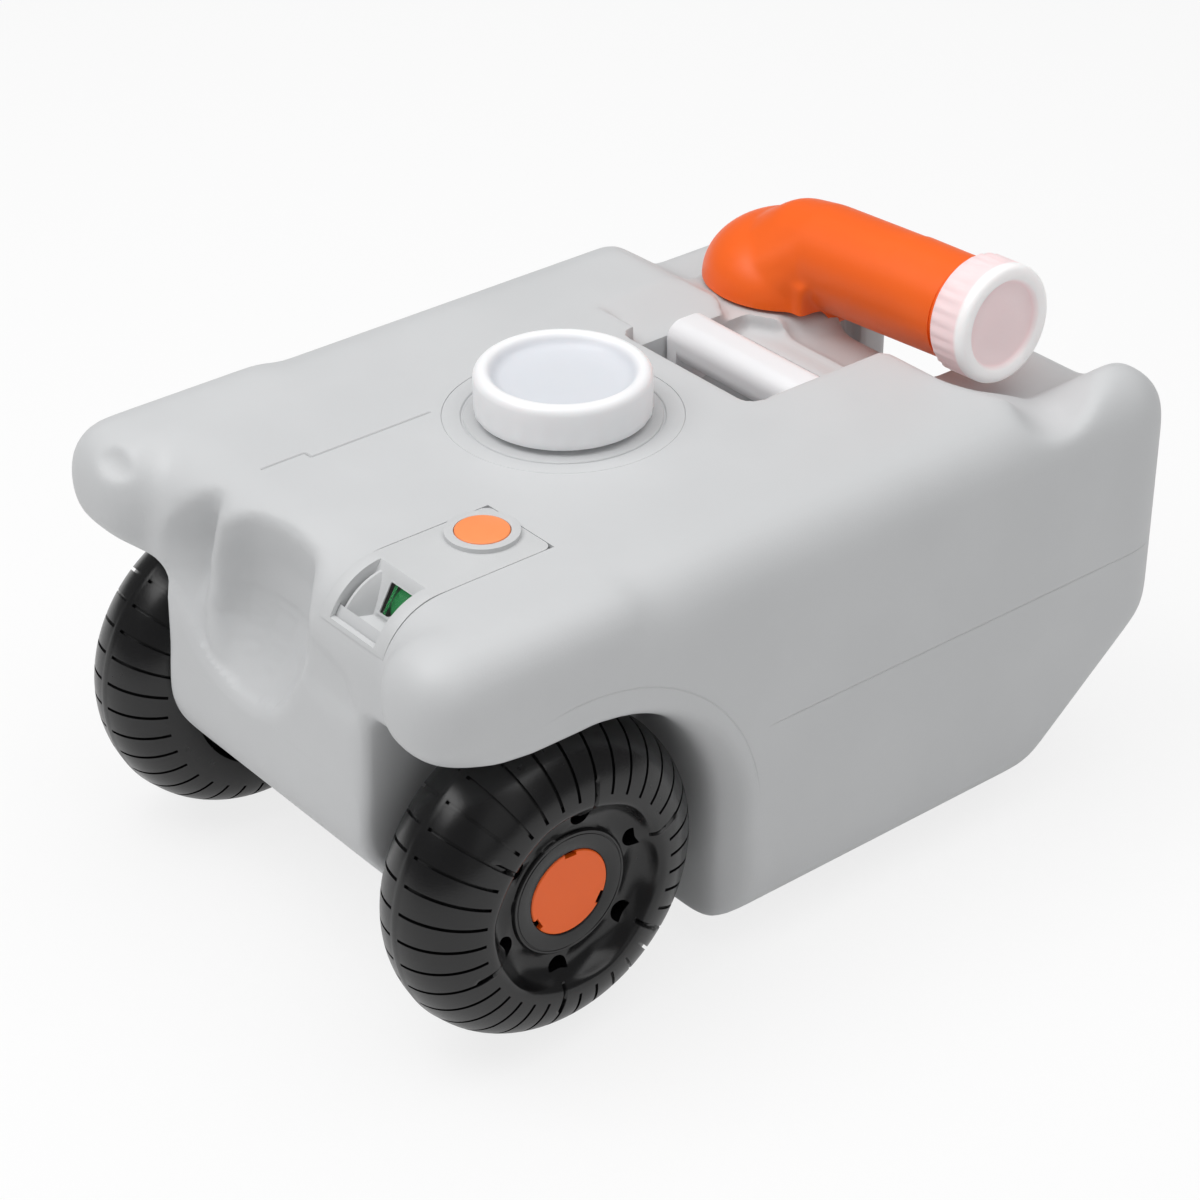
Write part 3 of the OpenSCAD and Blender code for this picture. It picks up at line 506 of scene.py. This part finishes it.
def along_x(name, points, low, high):
    """A prism whose outline is drawn in side view."""
    return prism(name, [(low, y, z) for y, z in points], (high - low, 0, 0))


def along_y(name, points, low, high):
    return prism(name, [(x, low, z) for x, z in points], (0, high - low, 0))


def upright(name, points, low, high):
    return prism(name, [(x, y, low) for x, y in points], (0, 0, high - low))


def well_tools(grow):
    """Room for the wheels; above and behind the wheel the outer edge is flared."""
    y, z = AXLE
    tools = []
    for side in (-1, 1):
        inner, outer = WELL_X - grow, HALF + 4
        low, high = sorted((side * inner, side * outer))
        r = WELL_R + grow
        tools.append(drum("well", (side * (inner + outer) / 2, y, z), r, outer - inner, "X", 128))
        tools.append(block("well_low", (low, -240, -10), (high, y + r, z)))
        tools.append(block("well_front", (low, -240, z - 1), (high, y, z + r)))
        x0, x1 = HALF - FLARE, HALF + 2
        near, far, back = r - 12, r + 2, y + 12
        ends = (near, far) if side > 0 else (far, near)
        tools.append(drum("flare", (side * (x0 + x1) / 2, back, z), ends[0], x1 - x0, "X", 128, ends[1]))
        tools.append(upright("flare_rear", [(side * x0, y + r - 6), (side * x0, back + near),
                                            (side * x1, back + far), (side * x1, y + r - 6)], -10, z))
    return tools


def reading(value, table):
    """Straight-line reading of a table of (place, amount) pairs."""
    for (low, first), (high, second) in zip(table, table[1:]):
        if value <= high:
            return first + (second - first) * max(0, value - low) / (high - low)
    return table[-1][1]


# The hollow in the front: tables of (place, amount) for its form, then the sizes of its tool
RIM = [(-88, 190), (-79, 165.5), (-65, 152.5), (-52, 141), (-39, 134), (-24.5, 130), (-8, 130),
       (6.5, 135), (18, 144.5), (28, 161), (36, 173.5), (46, 196)]
ACROSS = [(-84, 0), (-79, 5), (-72, 16), (-66, 23), (-62, 24), (-57, 18), (-50, 8.5), (-46, 11), (-41, 20),
          (-35, 25), (-20, 28), (-5, 28), (10, 25), (22, 19), (32, 12), (40, 6), (48, 2)]
LEAN = [(138, 5), (157, -2), (185, 1), (200, 7), (215, 14)]
BROW = [(190, 1), (222, 0.7)]
RIGHT_END = [(24, 1), (46, 0)]
SOFT_TOP = [(172, 0), (200, 7)]
RIM_RISE = 42
RIM_STEP = 4.5
SCOOP_X = (-88, 48)
SCOOP_Z = (126, 246)
SCOOP_CUTS = 80
SCOOP_LEVELS = 58
SCOOP_STEP = 0.5


def scoop_depth(x, z, late):
    """How far the hollow goes in from the front wall; the late cut leaves its soft top alone.

    RIM is its lower edge, ACROSS its depth from left to right and LEAN the lean of its rib. BROW and
    RIGHT_END thin it out at the top and at the right.
    """
    deep = reading(x - reading(z, LEAN), ACROSS) * reading(z, BROW) * reading(x, RIGHT_END)
    rise = min(1, max(0, (z - reading(x, RIM)) / RIM_RISE))
    held = reading(z, SOFT_TOP) if late else 0
    start = min(RIM_STEP, deep) if rise > 0 else 0
    return start + (deep - start) * (1 - (1 - rise) ** 2) - held


def scoop_tool(late):
    """A block in front of the tank whose rear face is pressed in step by step to the hollow's shape."""
    tool = block("scoop", (SCOOP_X[0], -280, SCOOP_Z[0]), (SCOOP_X[1], FRONT, SCOOP_Z[1]))

    def on_rear(co):
        return co.y / MM > FRONT - 1

    def off_edge(co):
        x, z = co.x / MM, co.z / MM
        return on_rear(co) and SCOOP_X[0] + 1 < x < SCOOP_X[1] - 1 and SCOOP_Z[0] + 1 < z < SCOOP_Z[1] - 1

    choose(tool, on_rear)
    bpy.ops.mesh.subdivide(number_cuts=SCOOP_CUTS)
    leave()
    for level in range(SCOOP_LEVELS):
        reached = SCOOP_STEP * (level + 0.5)
        choose(tool, lambda co: on_rear(co) and scoop_depth(co.x / MM, co.z / MM, late) > reached)
        bpy.ops.transform.translate(value=(0, SCOOP_STEP * MM, 0))
        leave()
    choose(tool, off_edge)
    bpy.ops.mesh.vertices_smooth(factor=0.5, repeat=1 if late else 4)
    leave()
    return tool


def rear_tools(grow):
    """The low rear: shelf, ramp, groove, room for the spout cap and the hump's rounding."""
    g = grow
    ramp = [(95 - g, CLEAR), (95 - g, DECK - g), (140 - g, 191 - g), (260, 191 - g), (260, CLEAR)]
    groove = [((x, y + back, z + up), r + g) for x, y, z, r in ((98, 173, 214, 12), (170, 129, 243, 32))
              for back, up in ((0, 0), (-36, 46), (57, 37))]
    cap_ends = ((88, 173, 214, -60, 26.7), (116, 163, 216, -45, 30))
    cap_room = [((x, y + back, z + up), 12 + g) for x, y, z, front, lift in cap_ends
                for back, up in ((0, 0), (front, lift), (57, 37))]
    flank = [(91, SHELF_Z - g), (92 + g, SHELF_Z - g), (126 + g, DECK), (126 + g, CLEAR), (91, CLEAR)]
    hump = [(232, 170)] + arc((230 - 42, DECK - 42), 42 - g, 0, 90, 8) + [(188, 232), (232, 232)]
    edge = [(232, 170)] + arc((230 - 18, SHELF_Z - 18), 18 - g, 0, 90, 6) + [(212, 200), (232, 200)]
    return [block("shelf", (-52, 125 - g, SHELF_Z - g), (92 + g, 260, CLEAR)),
            along_x("ramp", ramp, -HALF - 4, -50 + g), hull("groove", groove), hull("cap_room", cap_room),
            along_y("flank", flank, 164.5, 240), along_x("hump_back", hump, 92, HALF + 4),
            along_x("shelf_edge", edge, -HALF - 4, 92 + g),
            drum("seat", (*SPOUT, SEAT_Z - g + 30), SEAT_R + g, 60)]


def rounded_plan(low, high, r, count=6):
    """A rectangle with rounded corners, as a chain of points."""
    (x0, y0), (x1, y1) = low, high
    return (arc((x1 - r, y0 + r), r, -90, 0, count) + arc((x1 - r, y1 - r), r, 0, 90, count)
            + arc((x0 + r, y1 - r), r, 90, 180, count) + arc((x0 + r, y0 + r), r, 180, 270, count))


def pocket_tools(grow):
    """The handle pocket, its sloping left side, the low ridge behind it and the edge before the seat."""
    g = grow
    low = DECK - 16 - g
    slope = [(-80 - g, 230), (-78 - g, DECK), (-38, low), (0, low), (0, 230)]
    ridge = [(-48 - g, 100), (48 + g, 100), (48 + g, 126 + g), (-30 - g, 126 + g), (-48 - g, 117 + g)]
    seat = [(-70 - g, 113 - g), (-46 - g, 102 - g), (g, 102 - g), (g, 150), (-70 - g, 150)]
    return [upright("pocket", rounded_plan((-48 - g, 34 - g), (48 + g, 112 + g), 10 + g), 150 - g, CLEAR),
            along_y("slope", slope, 44 - g, 118 + g), upright("ridge", ridge, 198 - g, CLEAR),
            upright("seat_front", seat, SEAT_Z - g, CLEAR)]


def notch_tool(grow):
    """The opening behind the shelf."""
    g = grow
    return upright("notch", [(-57 - g, 158 - g), (45 + g, 158 - g), (45 + g, 260), (-131 - g, 260),
                             (-131 - g, 240 - g), (-57 - g, 192 - g)], 140 - g, CLEAR)


def strip_bed():
    """Room for the control strip, over the deck and down round the bow."""
    bend = arc(BOW, 29.2, 90, 160, 12)
    end = arc(BOW, 42, 160, 160, 1)[0]
    side = [(-118.6, 240), (-118.6, 221)] + bend + [end, (end[0], 240)]
    return along_x("strip_bed", side, 45.1, 91.9)


def shell_bores():
    """Crisp openings: strip bed, gauge pod, vent, filler, spout, axle and the bar's sockets."""
    y, z = AXLE
    return [strip_bed(), block("pod_room", (49.6, -204.4, 194.5), (86.4, -162.6, 226)),
            drum("cup", (*VENT, 219), 14, 20), drum("vent", (*VENT, 205), 5, 12, sides=32),
            drum("filler", (*FILLER, 225), 57.05, 30, sides=128),
            drum("spout_way", (*SPOUT, 180), 26, 110),
            drum("axle_way", (0, y, z), 6.05, 320, "X", 48),
            drum("sockets", BAR, 5.05, 110, "X", 32)]


def make_tank():
    """The shell as one skin: soft forms, then the hollow's crisp rim, the inside and the openings."""
    y, z = AXLE
    body = hull("tank_shell", skin_balls(0))
    carve_all(body, well_tools(0) + rear_tools(0))
    for side in (-1, 1):
        arm = hull("arm", [((side * ax, ay, az), 24) for ax in (119 if side > 0 else 109, 125.8)
                           for ay in (-203.4, -120) for az in (191.5, 199.4)])
        carve(body, arm, "UNION")
    carve(body, drum("seat_block", (*SPOUT, 173), SEAT_R, 67), "UNION")
    soften(body, 3.0, 6)
    recess = [(34, -224, 183), (40, -224, 170), (62, -225, 178), (66, -225, 168)]
    carve(body, hull("recess", [(p, 14) for p in recess]))
    soften(body, 2.4, 6)
    carve(body, scoop_tool(False))
    soften(body, 2.2, 2)

    def above_hollow(co):
        return co.y < -0.178 and -0.098 < co.x < 0.043 and co.z > 0.200

    pushed(body, above_hollow, 0, 10)
    carve(body, hull("dish", [((-106, -228.5, 224.5), 16), ((-92, -228, 222.5), 16)]))
    carve_all(body, pocket_tools(0) + [notch_tool(0)])
    loose = [drum("column", (*SPOUT, 179), 30, 84),
             block("post", (-48, 184, 138), (-32, 202, SEAT_Z))]
    for side in (-1, 1):
        loose.append(upright("foot", rounded_plan((side * 65 - 13, 64), (side * 65 + 13, 134), 10), 0, 16))
        loose.append(drum("boss", (side * 81, y, z), 14, 10.4, "X", 48))
    body = unite(body, *loose)
    soften(body, 2.4, 3)
    rework(body, "DECIMATE", ratio=0.5)
    carve(body, scoop_tool(True))
    inside = hull("inside", skin_balls(WALL))
    carve_all(inside, well_tools(WALL) + rear_tools(WALL) + pocket_tools(WALL) + [notch_tool(WALL)])
    carve(inside, block("scoop_wall", (-92, -240, 116), (90, -181, 232)))
    carve_all(inside, [drum("cup_wall", (*VENT, 221), 17, 30), drum("bar_wall", BAR, 9, 118, "X", 32),
                       drum("axle_wall", (0, y, z), 14, 320, "X", 48)])
    carve(body, inside)
    carve_all(body, shell_bores())
    smooth(body, 40)
    return body


# Wheels

def round_the_axle(co):
    """Turn about the axle in degrees, radius and distance outwards from the tyre's middle, in millimetres."""
    y, z = co.y / MM - AXLE[0], co.z / MM - AXLE[1]
    return math.degrees(math.atan2(z, y)), math.hypot(y, z), co.x / MM - WHEEL_X


def off_step(turn, first, pitch):
    """How far a turn is from the nearest of evenly spaced turns, in degrees."""
    return abs((turn - first + pitch / 2) % pitch - pitch / 2)


def dense(points, step):
    """The same chain of points with more of them, at most a step apart."""
    chain = [points[0]]
    for (r0, h0), (r1, h1) in zip(points, points[1:]):
        count = max(1, math.ceil(math.hypot(r1 - r0, h1 - h0) / step))
        chain += [(r0 + (r1 - r0) * i / count, h0 + (h1 - h0) * i / count) for i in range(1, count + 1)]
    return chain


def tread_blades():
    """Thin curved tools for the grooves on both halves of the tread, all round the wheel."""
    made = []
    for low, high in ((5, 84), (-66, -5)):
        ring = arc((49, 0), 33, low, high, 14) + arc((49, 0), 28.9, high, low, 14)
        made.append(prism("groove", [HUB + Vector((h, r, -0.8)) for r, h in ring], (0, 0, 1.6)))
    blades = unite(*made)
    edit(blades)
    bpy.ops.mesh.spin(steps=35, angle=2 * math.pi * 35 / 36, dupli=True, center=metres(HUB), axis=(1, 0, 0))
    leave()
    return blades


HOLLOW_LEVELS = 7


def make_wheel():
    """The right wheel: cross grooves in the tread, lens-shaped hollows and dimples in the face, flat hub."""
    crown = arc((48.6, 0), 31, -92, 92, 60)
    slope = dense([(46.8, 30.5), (45.6, 29.3), (44.3, 27.6), (42.8, 26), (41, 24.5), (39, 23.2), (37, 22.3),
                   (35, 21.6), (33.4, 21.2), (32.2, 21.2)], 0.9)
    rim = [(31.5, 21.6), (31.1, 22.6), (30.6, 23.2), (29.7, 23.2), (29.5, 22.9), (29.1, 22.9), (28.9, 23.2),
           (22.3, 23.2), (21.5, 22.6), (21.5, 17.2), (9.05, 17.2)]
    back = [(9.05, -29), (29.5, -29), (31, -27.6), (31, -23), (33, -22), (45, -22), (46.4, -24), (47, -28.5)]
    wheel = lathe("right_wheel_tread", back + crown + slope + rim + [back[0]], HUB, (1, 0, 0), (0, 1, 0), 240)
    for level in range(HOLLOW_LEVELS):
        reach = (level + 1) / HOLLOW_LEVELS

        def in_hollow(co, reach=reach):
            turn, radius, out = round_the_axle(co)
            across = (radius - 39.5) / (7.5 * reach)
            return out > 15 and across ** 2 + (off_step(turn, 50, 60) / (27 * reach)) ** 2 < 1

        pushed(wheel, in_hollow, -0.55, 2)

    def on_face(co):
        radius, out = round_the_axle(co)[1:]
        return out > 14 and 32.5 < radius < 49

    def on_seam(co):
        radius, out = round_the_axle(co)[1:]
        return abs(out) < 0.5 and radius > 70

    def on_slit(co):
        turn, radius, out = round_the_axle(co)
        return out > 20 and 44.5 < radius < 59 and off_step(turn, 20, 60) < 0.8

    pushed(wheel, on_face, 0, 6)
    pushed(wheel, on_seam, 0.35)
    pushed(wheel, on_slit, -1.8)
    carve(wheel, tread_blades())
    dimples = []
    for i in range(6):
        turn = math.radians(20 + 60 * i)
        spot = HUB + Vector((15.5, 39 * math.cos(turn), 39 * math.sin(turn)))
        dimples.append(drum("dimple", spot, 4.0, 16, "X", 32, 5.4))
    carve(wheel, unite(*dimples))
    smooth(wheel, 38)
    return wheel


def mirrored(piece, name):
    """The same piece for the left side."""
    pick(piece)
    bpy.ops.object.duplicate()
    other = bpy.context.object
    other.scale = (-1, 1, 1)
    settle(name)
    edit(other)
    bpy.ops.mesh.normals_make_consistent(inside=False)
    leave()
    return other


def make_hub_cap():
    """Orange disc with a soft edge and three notches, on the right wheel."""
    profile = [(0, 20.2), (20.6, 20.2), (21.2, 20.8), (21.2, 22.6), (20.7, 23.1), (0, 23.2)]
    cap = lathe("right_hub_disc", profile, HUB, (1, 0, 0), (0, 1, 0), 96)
    start = Vector((130, HUB.y, HUB.z))
    for turn in (88, -32, -152):
        along = Vector((0, math.cos(math.radians(turn)), math.sin(math.radians(turn))))
        across = Vector((0, -along.z, along.y))
        sides = ((18.9, -3.2), (24, -3.2), (24, 3.2), (18.9, 3.2))
        corners = [start + along * r + across * w for r, w in sides]
        carve(cap, prism("notch", corners, (16, 0, 0)))
    smooth(cap, 40)
    return cap


def make_neck():
    """Filler neck with its flange, set flush into the deck."""
    profile = [(32, 220.5), (57, 220.5), (57, 223.1), (56.6, 223.5), (48.4, 223.5), (48, 223.2),
               (47.8, 222.7), (47, 222.7), (46.8, 223.2), (46.4, 223.5), (37.2, 223.5), (36.3, 223.8),
               (36, 224.7), (36, 237.4), (35.2, 238.5), (32.7, 238.5), (32, 237.8), (32, 220.5)]
    neck = lathe("filler_neck_flange", profile, (*FILLER, 0), steps=128)
    smooth(neck, 30)
    return neck


tank = make_tank()
place(tank, "tank", "tank", *TANK_NODES)
place(make_neck(), "tank", "tank", "filler_neck")
right_wheel = make_wheel()
left_wheel = mirrored(right_wheel, "left_wheel_tread")
place(right_wheel, "right_wheel_body", "tyre", "right_wheel")
place(left_wheel, "left_wheel_body", "tyre", "left_wheel")
right_cap = make_hub_cap()
left_cap = mirrored(right_cap, "left_hub_disc")
place(right_cap, "right_wheel_body", "orange", "right_hub_cap")
place(left_cap, "left_wheel_body", "orange", "left_hub_cap")


# Caps and spout

def make_filler_cap():
    """White cap: soft rim, shallow dish and faint flutes round its skirt."""
    x, y = FILLER
    profile = ([(36.3, 226.5), (41.2, 226.5), (42, 227.3), (42, 230), (42, 234), (42, 238)]
               + arc((37.4, 243.4), 4.6, 0, 95, 9)
               + [(35.8, 247.6), (34.6, 246.6), (33.6, 245.2), (32.6, 243.8), (31.2, 242.7), (29, 242),
                  (24, 241.6), (12, 241.3), (0, 241.2), (0, 240), (36.3, 240), (36.3, 226.5)])
    cap = lathe("filler_cap_dished", profile, (x, y, 0), steps=144)

    def flute(co):
        right, back = co.x / MM - x, co.y / MM - y
        turn = math.degrees(math.atan2(back, right))
        return math.hypot(right, back) > 41.5 and co.z / MM < 237 and off_step(turn, 0, 15) < 4

    pushed(cap, flute, -0.4)
    smooth(cap, 50)
    return cap


TUBE = Vector((math.cos(TILT), 0, math.sin(TILT)))
TUBE_UP = Vector((-math.sin(TILT), 0, math.cos(TILT)))
TUBE_FOOT = (*SPOUT, TUBE_Z)


def make_spout_cap():
    """Fluted cap on the tube's end, with a thick rim round its dish."""
    profile = ([(24, 132.4), (29.3, 132.4), (30, 133.2), (30, 138), (30, 143), (30, 148)]
               + arc((26.5, 150.8), 3.5, 0, 90, 7)
               + [(23.6, 154.1), (22.4, 153.2), (21.6, 151.6), (20.6, 150.6), (12, 150.3), (0, 150.3),
                  (0, 148.8), (24, 148.8), (24, 132.4)])
    cap = lathe("spout_cap_fluted", profile, TUBE_FOOT, TUBE, TUBE_UP, 144)
    base = metres(TUBE_FOOT)

    def flute(co):
        off = co - base
        up, side = off.dot(TUBE_UP), off.y
        turn = math.degrees(math.atan2(side, up))
        return math.hypot(up, side) > 0.0295 and off.dot(TUBE) < 0.146 and off_step(turn, 0, 12) < 2.6

    pushed(cap, flute, -0.6)
    smooth(cap, 50)
    return cap


def make_spout():
    """The orange spout: a low dome that bends into the tube, a foot flange and the step under the tube."""
    x, y = SPOUT
    turns = [math.radians(6 * i) for i in range(16)]
    curve = [(44.4 * math.cos(t), SPOUT_Z + 33 * math.sin(t)) for t in turns]
    dome = lathe("dome", [(0, 198), (44.4, 198)] + curve, (x, y, 0), steps=72)
    foot = [((x + h, y + w, 213), 15) for h, w in arc((0, 0), 27, 0, 330, 11)]
    first, last = ((x + 30, y, 229.6), 26.8), ((x + 131, y, 237.0), 26.3)
    bend = hull("bend", foot + [((x + 14, y, 226), 27.4), first])
    pipe = hull("pipe", [first, last])
    step = block("step", (x + 20, y - 29, 198), (x + 41.5, y + 29, 224))
    body = unite(dome, bend, pipe, step)
    soften(body, 1.5, 14)
    settle("spout_shell")
    carve(body, block("beyond", (x + 127, y - 40, 190), (x + 170, y + 40, 280)))
    carve(body, block("below", (x - 60, y - 60, 150), (x + 43, y + 60, SPOUT_Z)))
    end = [(0, 90), (25.4, 90), (25.4, 130.6), (24.9, 131.4), (23.5, 131.6), (23.5, 147), (0, 147)]
    carve(body, lathe("end", end, TUBE_FOOT, TUBE, TUBE_UP, 96), "UNION")
    flange = [(0, SPOUT_Z), (43.6, SPOUT_Z), (44, 208.9), (44, 210.2), (43.5, 210.8), (0, 212)]
    carve(body, lathe("flange", flange, (x, y, 0), steps=96), "UNION")
    ways = [drum("bearing", (x, y, 214), 30.05, 19), drum("ring_room", (x, y, 214), 33.8, 3.6)]
    bore = drum("bore", (0, 0, 0), 21, 140, "X", 64)
    bore.rotation_euler = (0, -TILT, 0)
    bore.location = metres(TUBE_FOOT) + TUBE * 0.106
    pick(bore)
    settle("bore")
    turn = hull("turn", [((x + 2, y, 217), 18), ((x + 12, y, 224), 18), ((x + 40, y, 231), 20)])
    carve_all(body, ways + [bore, turn])
    smooth(body, 40)
    return body


place(make_filler_cap(), "filler_lid", "cap", "filler_cap")
place(make_spout_cap(), "spout_lid", "spout_cap", "spout_cap")
place(make_spout(), "spout", "orange", "spout_elbow", "spout_tube")


# Strip, gauge and bar

PANE = Vector((0, -193.1, 206.8))
PANE_UP = Vector((0, 0.55, 0.835))
PANE_OUT = Vector((0, -0.835, 0.55))


def on_pane(x, up, out):
    """A point in front of the gauge's pane: across it, up along it and out from it."""
    return PANE + Vector((x, 0, 0)) + PANE_UP * up + PANE_OUT * out


def make_fin():
    """The curved wedge beside the gauge's window."""
    ring = [(14, 53.5), (27, 53.5), (28.6, 54.6), (28.6, 56), (27, 57.2), (16, 63.4), (14, 63.4), (14, 53.5)]
    fin = lathe("gauge_fin", ring, (0, *BOW), (1, 0, 0), (0, 0, 1), 128)
    carve(fin, block("quarter", (50, -212, 197), (70, -180, 225)), "INTERSECT")
    smooth(fin, 30)
    return fin


def make_mask():
    """Thin plate with the window's tapered opening, in front of the pane."""
    lift = 0.15
    corners = [(63.6, -1), (82.7, -1), (82.7, 14.6), (63.6, 14.6)]
    plate = prism("gauge_mask", [on_pane(x, up, lift) for x, up in corners], PANE_OUT * 0.8)
    way = [(65.6, 0), (71, 0), (73, 1.2), (82, 12.8), (82.1, 13.7), (81.4, 14.1), (65, 14.1), (64.6, 13.4)]
    carve(plate, prism("way", [on_pane(x, up, lift - 1) for x, up in way], PANE_OUT * 4))
    return plate


def make_shade_strip():
    """Painted shade: a dark strip behind the left edge of the window's opening."""
    corners = [(64.2, -0.6), (66.9, -0.6), (66.9, 14.3), (64.2, 14.3)]
    return prism("gauge_painted_shade", [on_pane(x, up, 0.05) for x, up in corners], PANE_OUT * 0.2)


place(eased("control_strip", "control_strip_moulded", 0.5), "tank", "strip", "control_strip")
place(make_fin(), "tank", "strip")
place(make_mask(), "tank", "strip")
# The dark strip is painted shade, not a part of its own.
place(make_shade_strip(), "tank", "dark")
place(eased("carry_handle", "carry_handle_moulded", 1.2), "tank", "bar", "carry_handle")
place(eased("vent_button", "vent_button_moulded", 0.7), "vent", "button", "vent_button")

# Finishes of the nodes that keep their own shape
PLAIN = {"axle": "steel", "left_wheel_bush": "bush", "right_wheel_bush": "bush", "thrust_washers": "bush",
         "axle_clips": "steel", "filler_cap_seal": "seal", "spout_retaining_ring": "bush",
         "spout_seal": "seal", "spout_cap_seal": "seal", "vent_spring": "steel", "vent_valve": "bush",
         "vent_valve_seal": "seal", "gauge_window": "pane", "gauge_flag": "green", "gauge_pin": "steel",
         "float_arm": "bush", "gauge_float": "foam", "handle_end_caps": "bar"}
for node_name, node_finish in PLAIN.items():
    dress(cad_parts[node_name], node_finish)


# Stage, light and camera

def stage_finish():
    """White floor: bright to the camera, with the object's shadow kept."""
    finish = Finish("floor_white")
    finish.set({"Base Color": (0.86, 0.86, 0.86, 1), "Roughness": 0.9, "Specular IOR Level": 0.1})
    rays = finish.tree.nodes.new("ShaderNodeLightPath")
    seen = Value(finish, rays.outputs["Is Camera Ray"]) + 0.5 * Value(finish, rays.outputs["Is Glossy Ray"])
    glow = finish.node("ShaderNodeEmission", {}, {"Color": (1, 1, 1, 1), "Strength": 1.0})
    body = Value(finish, finish.shader.outputs[0])
    blend = finish.node("ShaderNodeMixShader", {}, {0: seen * 0.8, 1: body, 2: glow})
    finish.tree.links.new(blend.socket, finish.tree.nodes["Material Output"].inputs[0])
    return finish


def make_stage():
    fresh()
    bpy.ops.mesh.primitive_plane_add(size=14.0, location=(0, 0, 0))
    floor = settle("floor")
    floor.data.materials.append(stage_finish().material)


LAMP_AIM = Vector((0, 0, 0.1))


def lamp(name, place_m, size, power):
    """A square lamp at a place in metres, turned to the object."""
    fresh()
    bpy.ops.object.light_add(type="AREA", location=place_m)
    light = bpy.context.object
    light.name = name
    light.data.shape = "SQUARE"
    light.data.size = size
    light.data.energy = power
    aim = LAMP_AIM - Vector(place_m)
    light.rotation_euler = aim.to_track_quat("-Z", "Y").to_euler()


def make_world():
    """White to the camera, dimmer as light and dimmer still in reflections."""
    world = bpy.data.worlds.new("studio")
    bpy.context.scene.world = world
    world.use_nodes = True
    tree = world.node_tree
    back = tree.nodes["Background"]
    back.inputs["Color"].default_value = (1, 1, 1, 1)
    rays = tree.nodes.new("ShaderNodeLightPath")
    shine = tree.nodes.new("ShaderNodeMapRange")
    shine.inputs["To Min"].default_value = 0.34
    shine.inputs["To Max"].default_value = 0.20
    strength = tree.nodes.new("ShaderNodeMapRange")
    strength.inputs["To Max"].default_value = 1.0
    tree.links.new(rays.outputs["Is Glossy Ray"], shine.inputs["Value"])
    tree.links.new(shine.outputs[0], strength.inputs["To Min"])
    tree.links.new(rays.outputs["Is Camera Ray"], strength.inputs["Value"])
    tree.links.new(strength.outputs[0], back.inputs["Strength"])


def make_camera():
    """The camera as fitted to the photo."""
    camera = bpy.data.objects.new("camera", bpy.data.cameras.new("camera"))
    bpy.context.scene.collection.objects.link(camera)
    camera.location = metres((1030.9, -863.9, 938.8))
    aim = metres((-1.2, -16.4, 111.6)) - camera.location
    camera.rotation_euler = aim.to_track_quat("-Z", "Y").to_euler()
    camera.data.sensor_width = 36
    camera.data.lens = 96.55
    camera.data.clip_start = 0.01
    bpy.context.scene.camera = camera


make_stage()
make_world()
make_camera()
lamp("key", (-0.6, -1.2, 2.2), 1.6, 25)
lamp("top", (0.2, 0.15, 2.1), 2.5, 28)
lamp("fill", (2.0, -0.6, 1.2), 1.5, 2)
bpy.context.scene.view_settings.view_transform = "Standard"
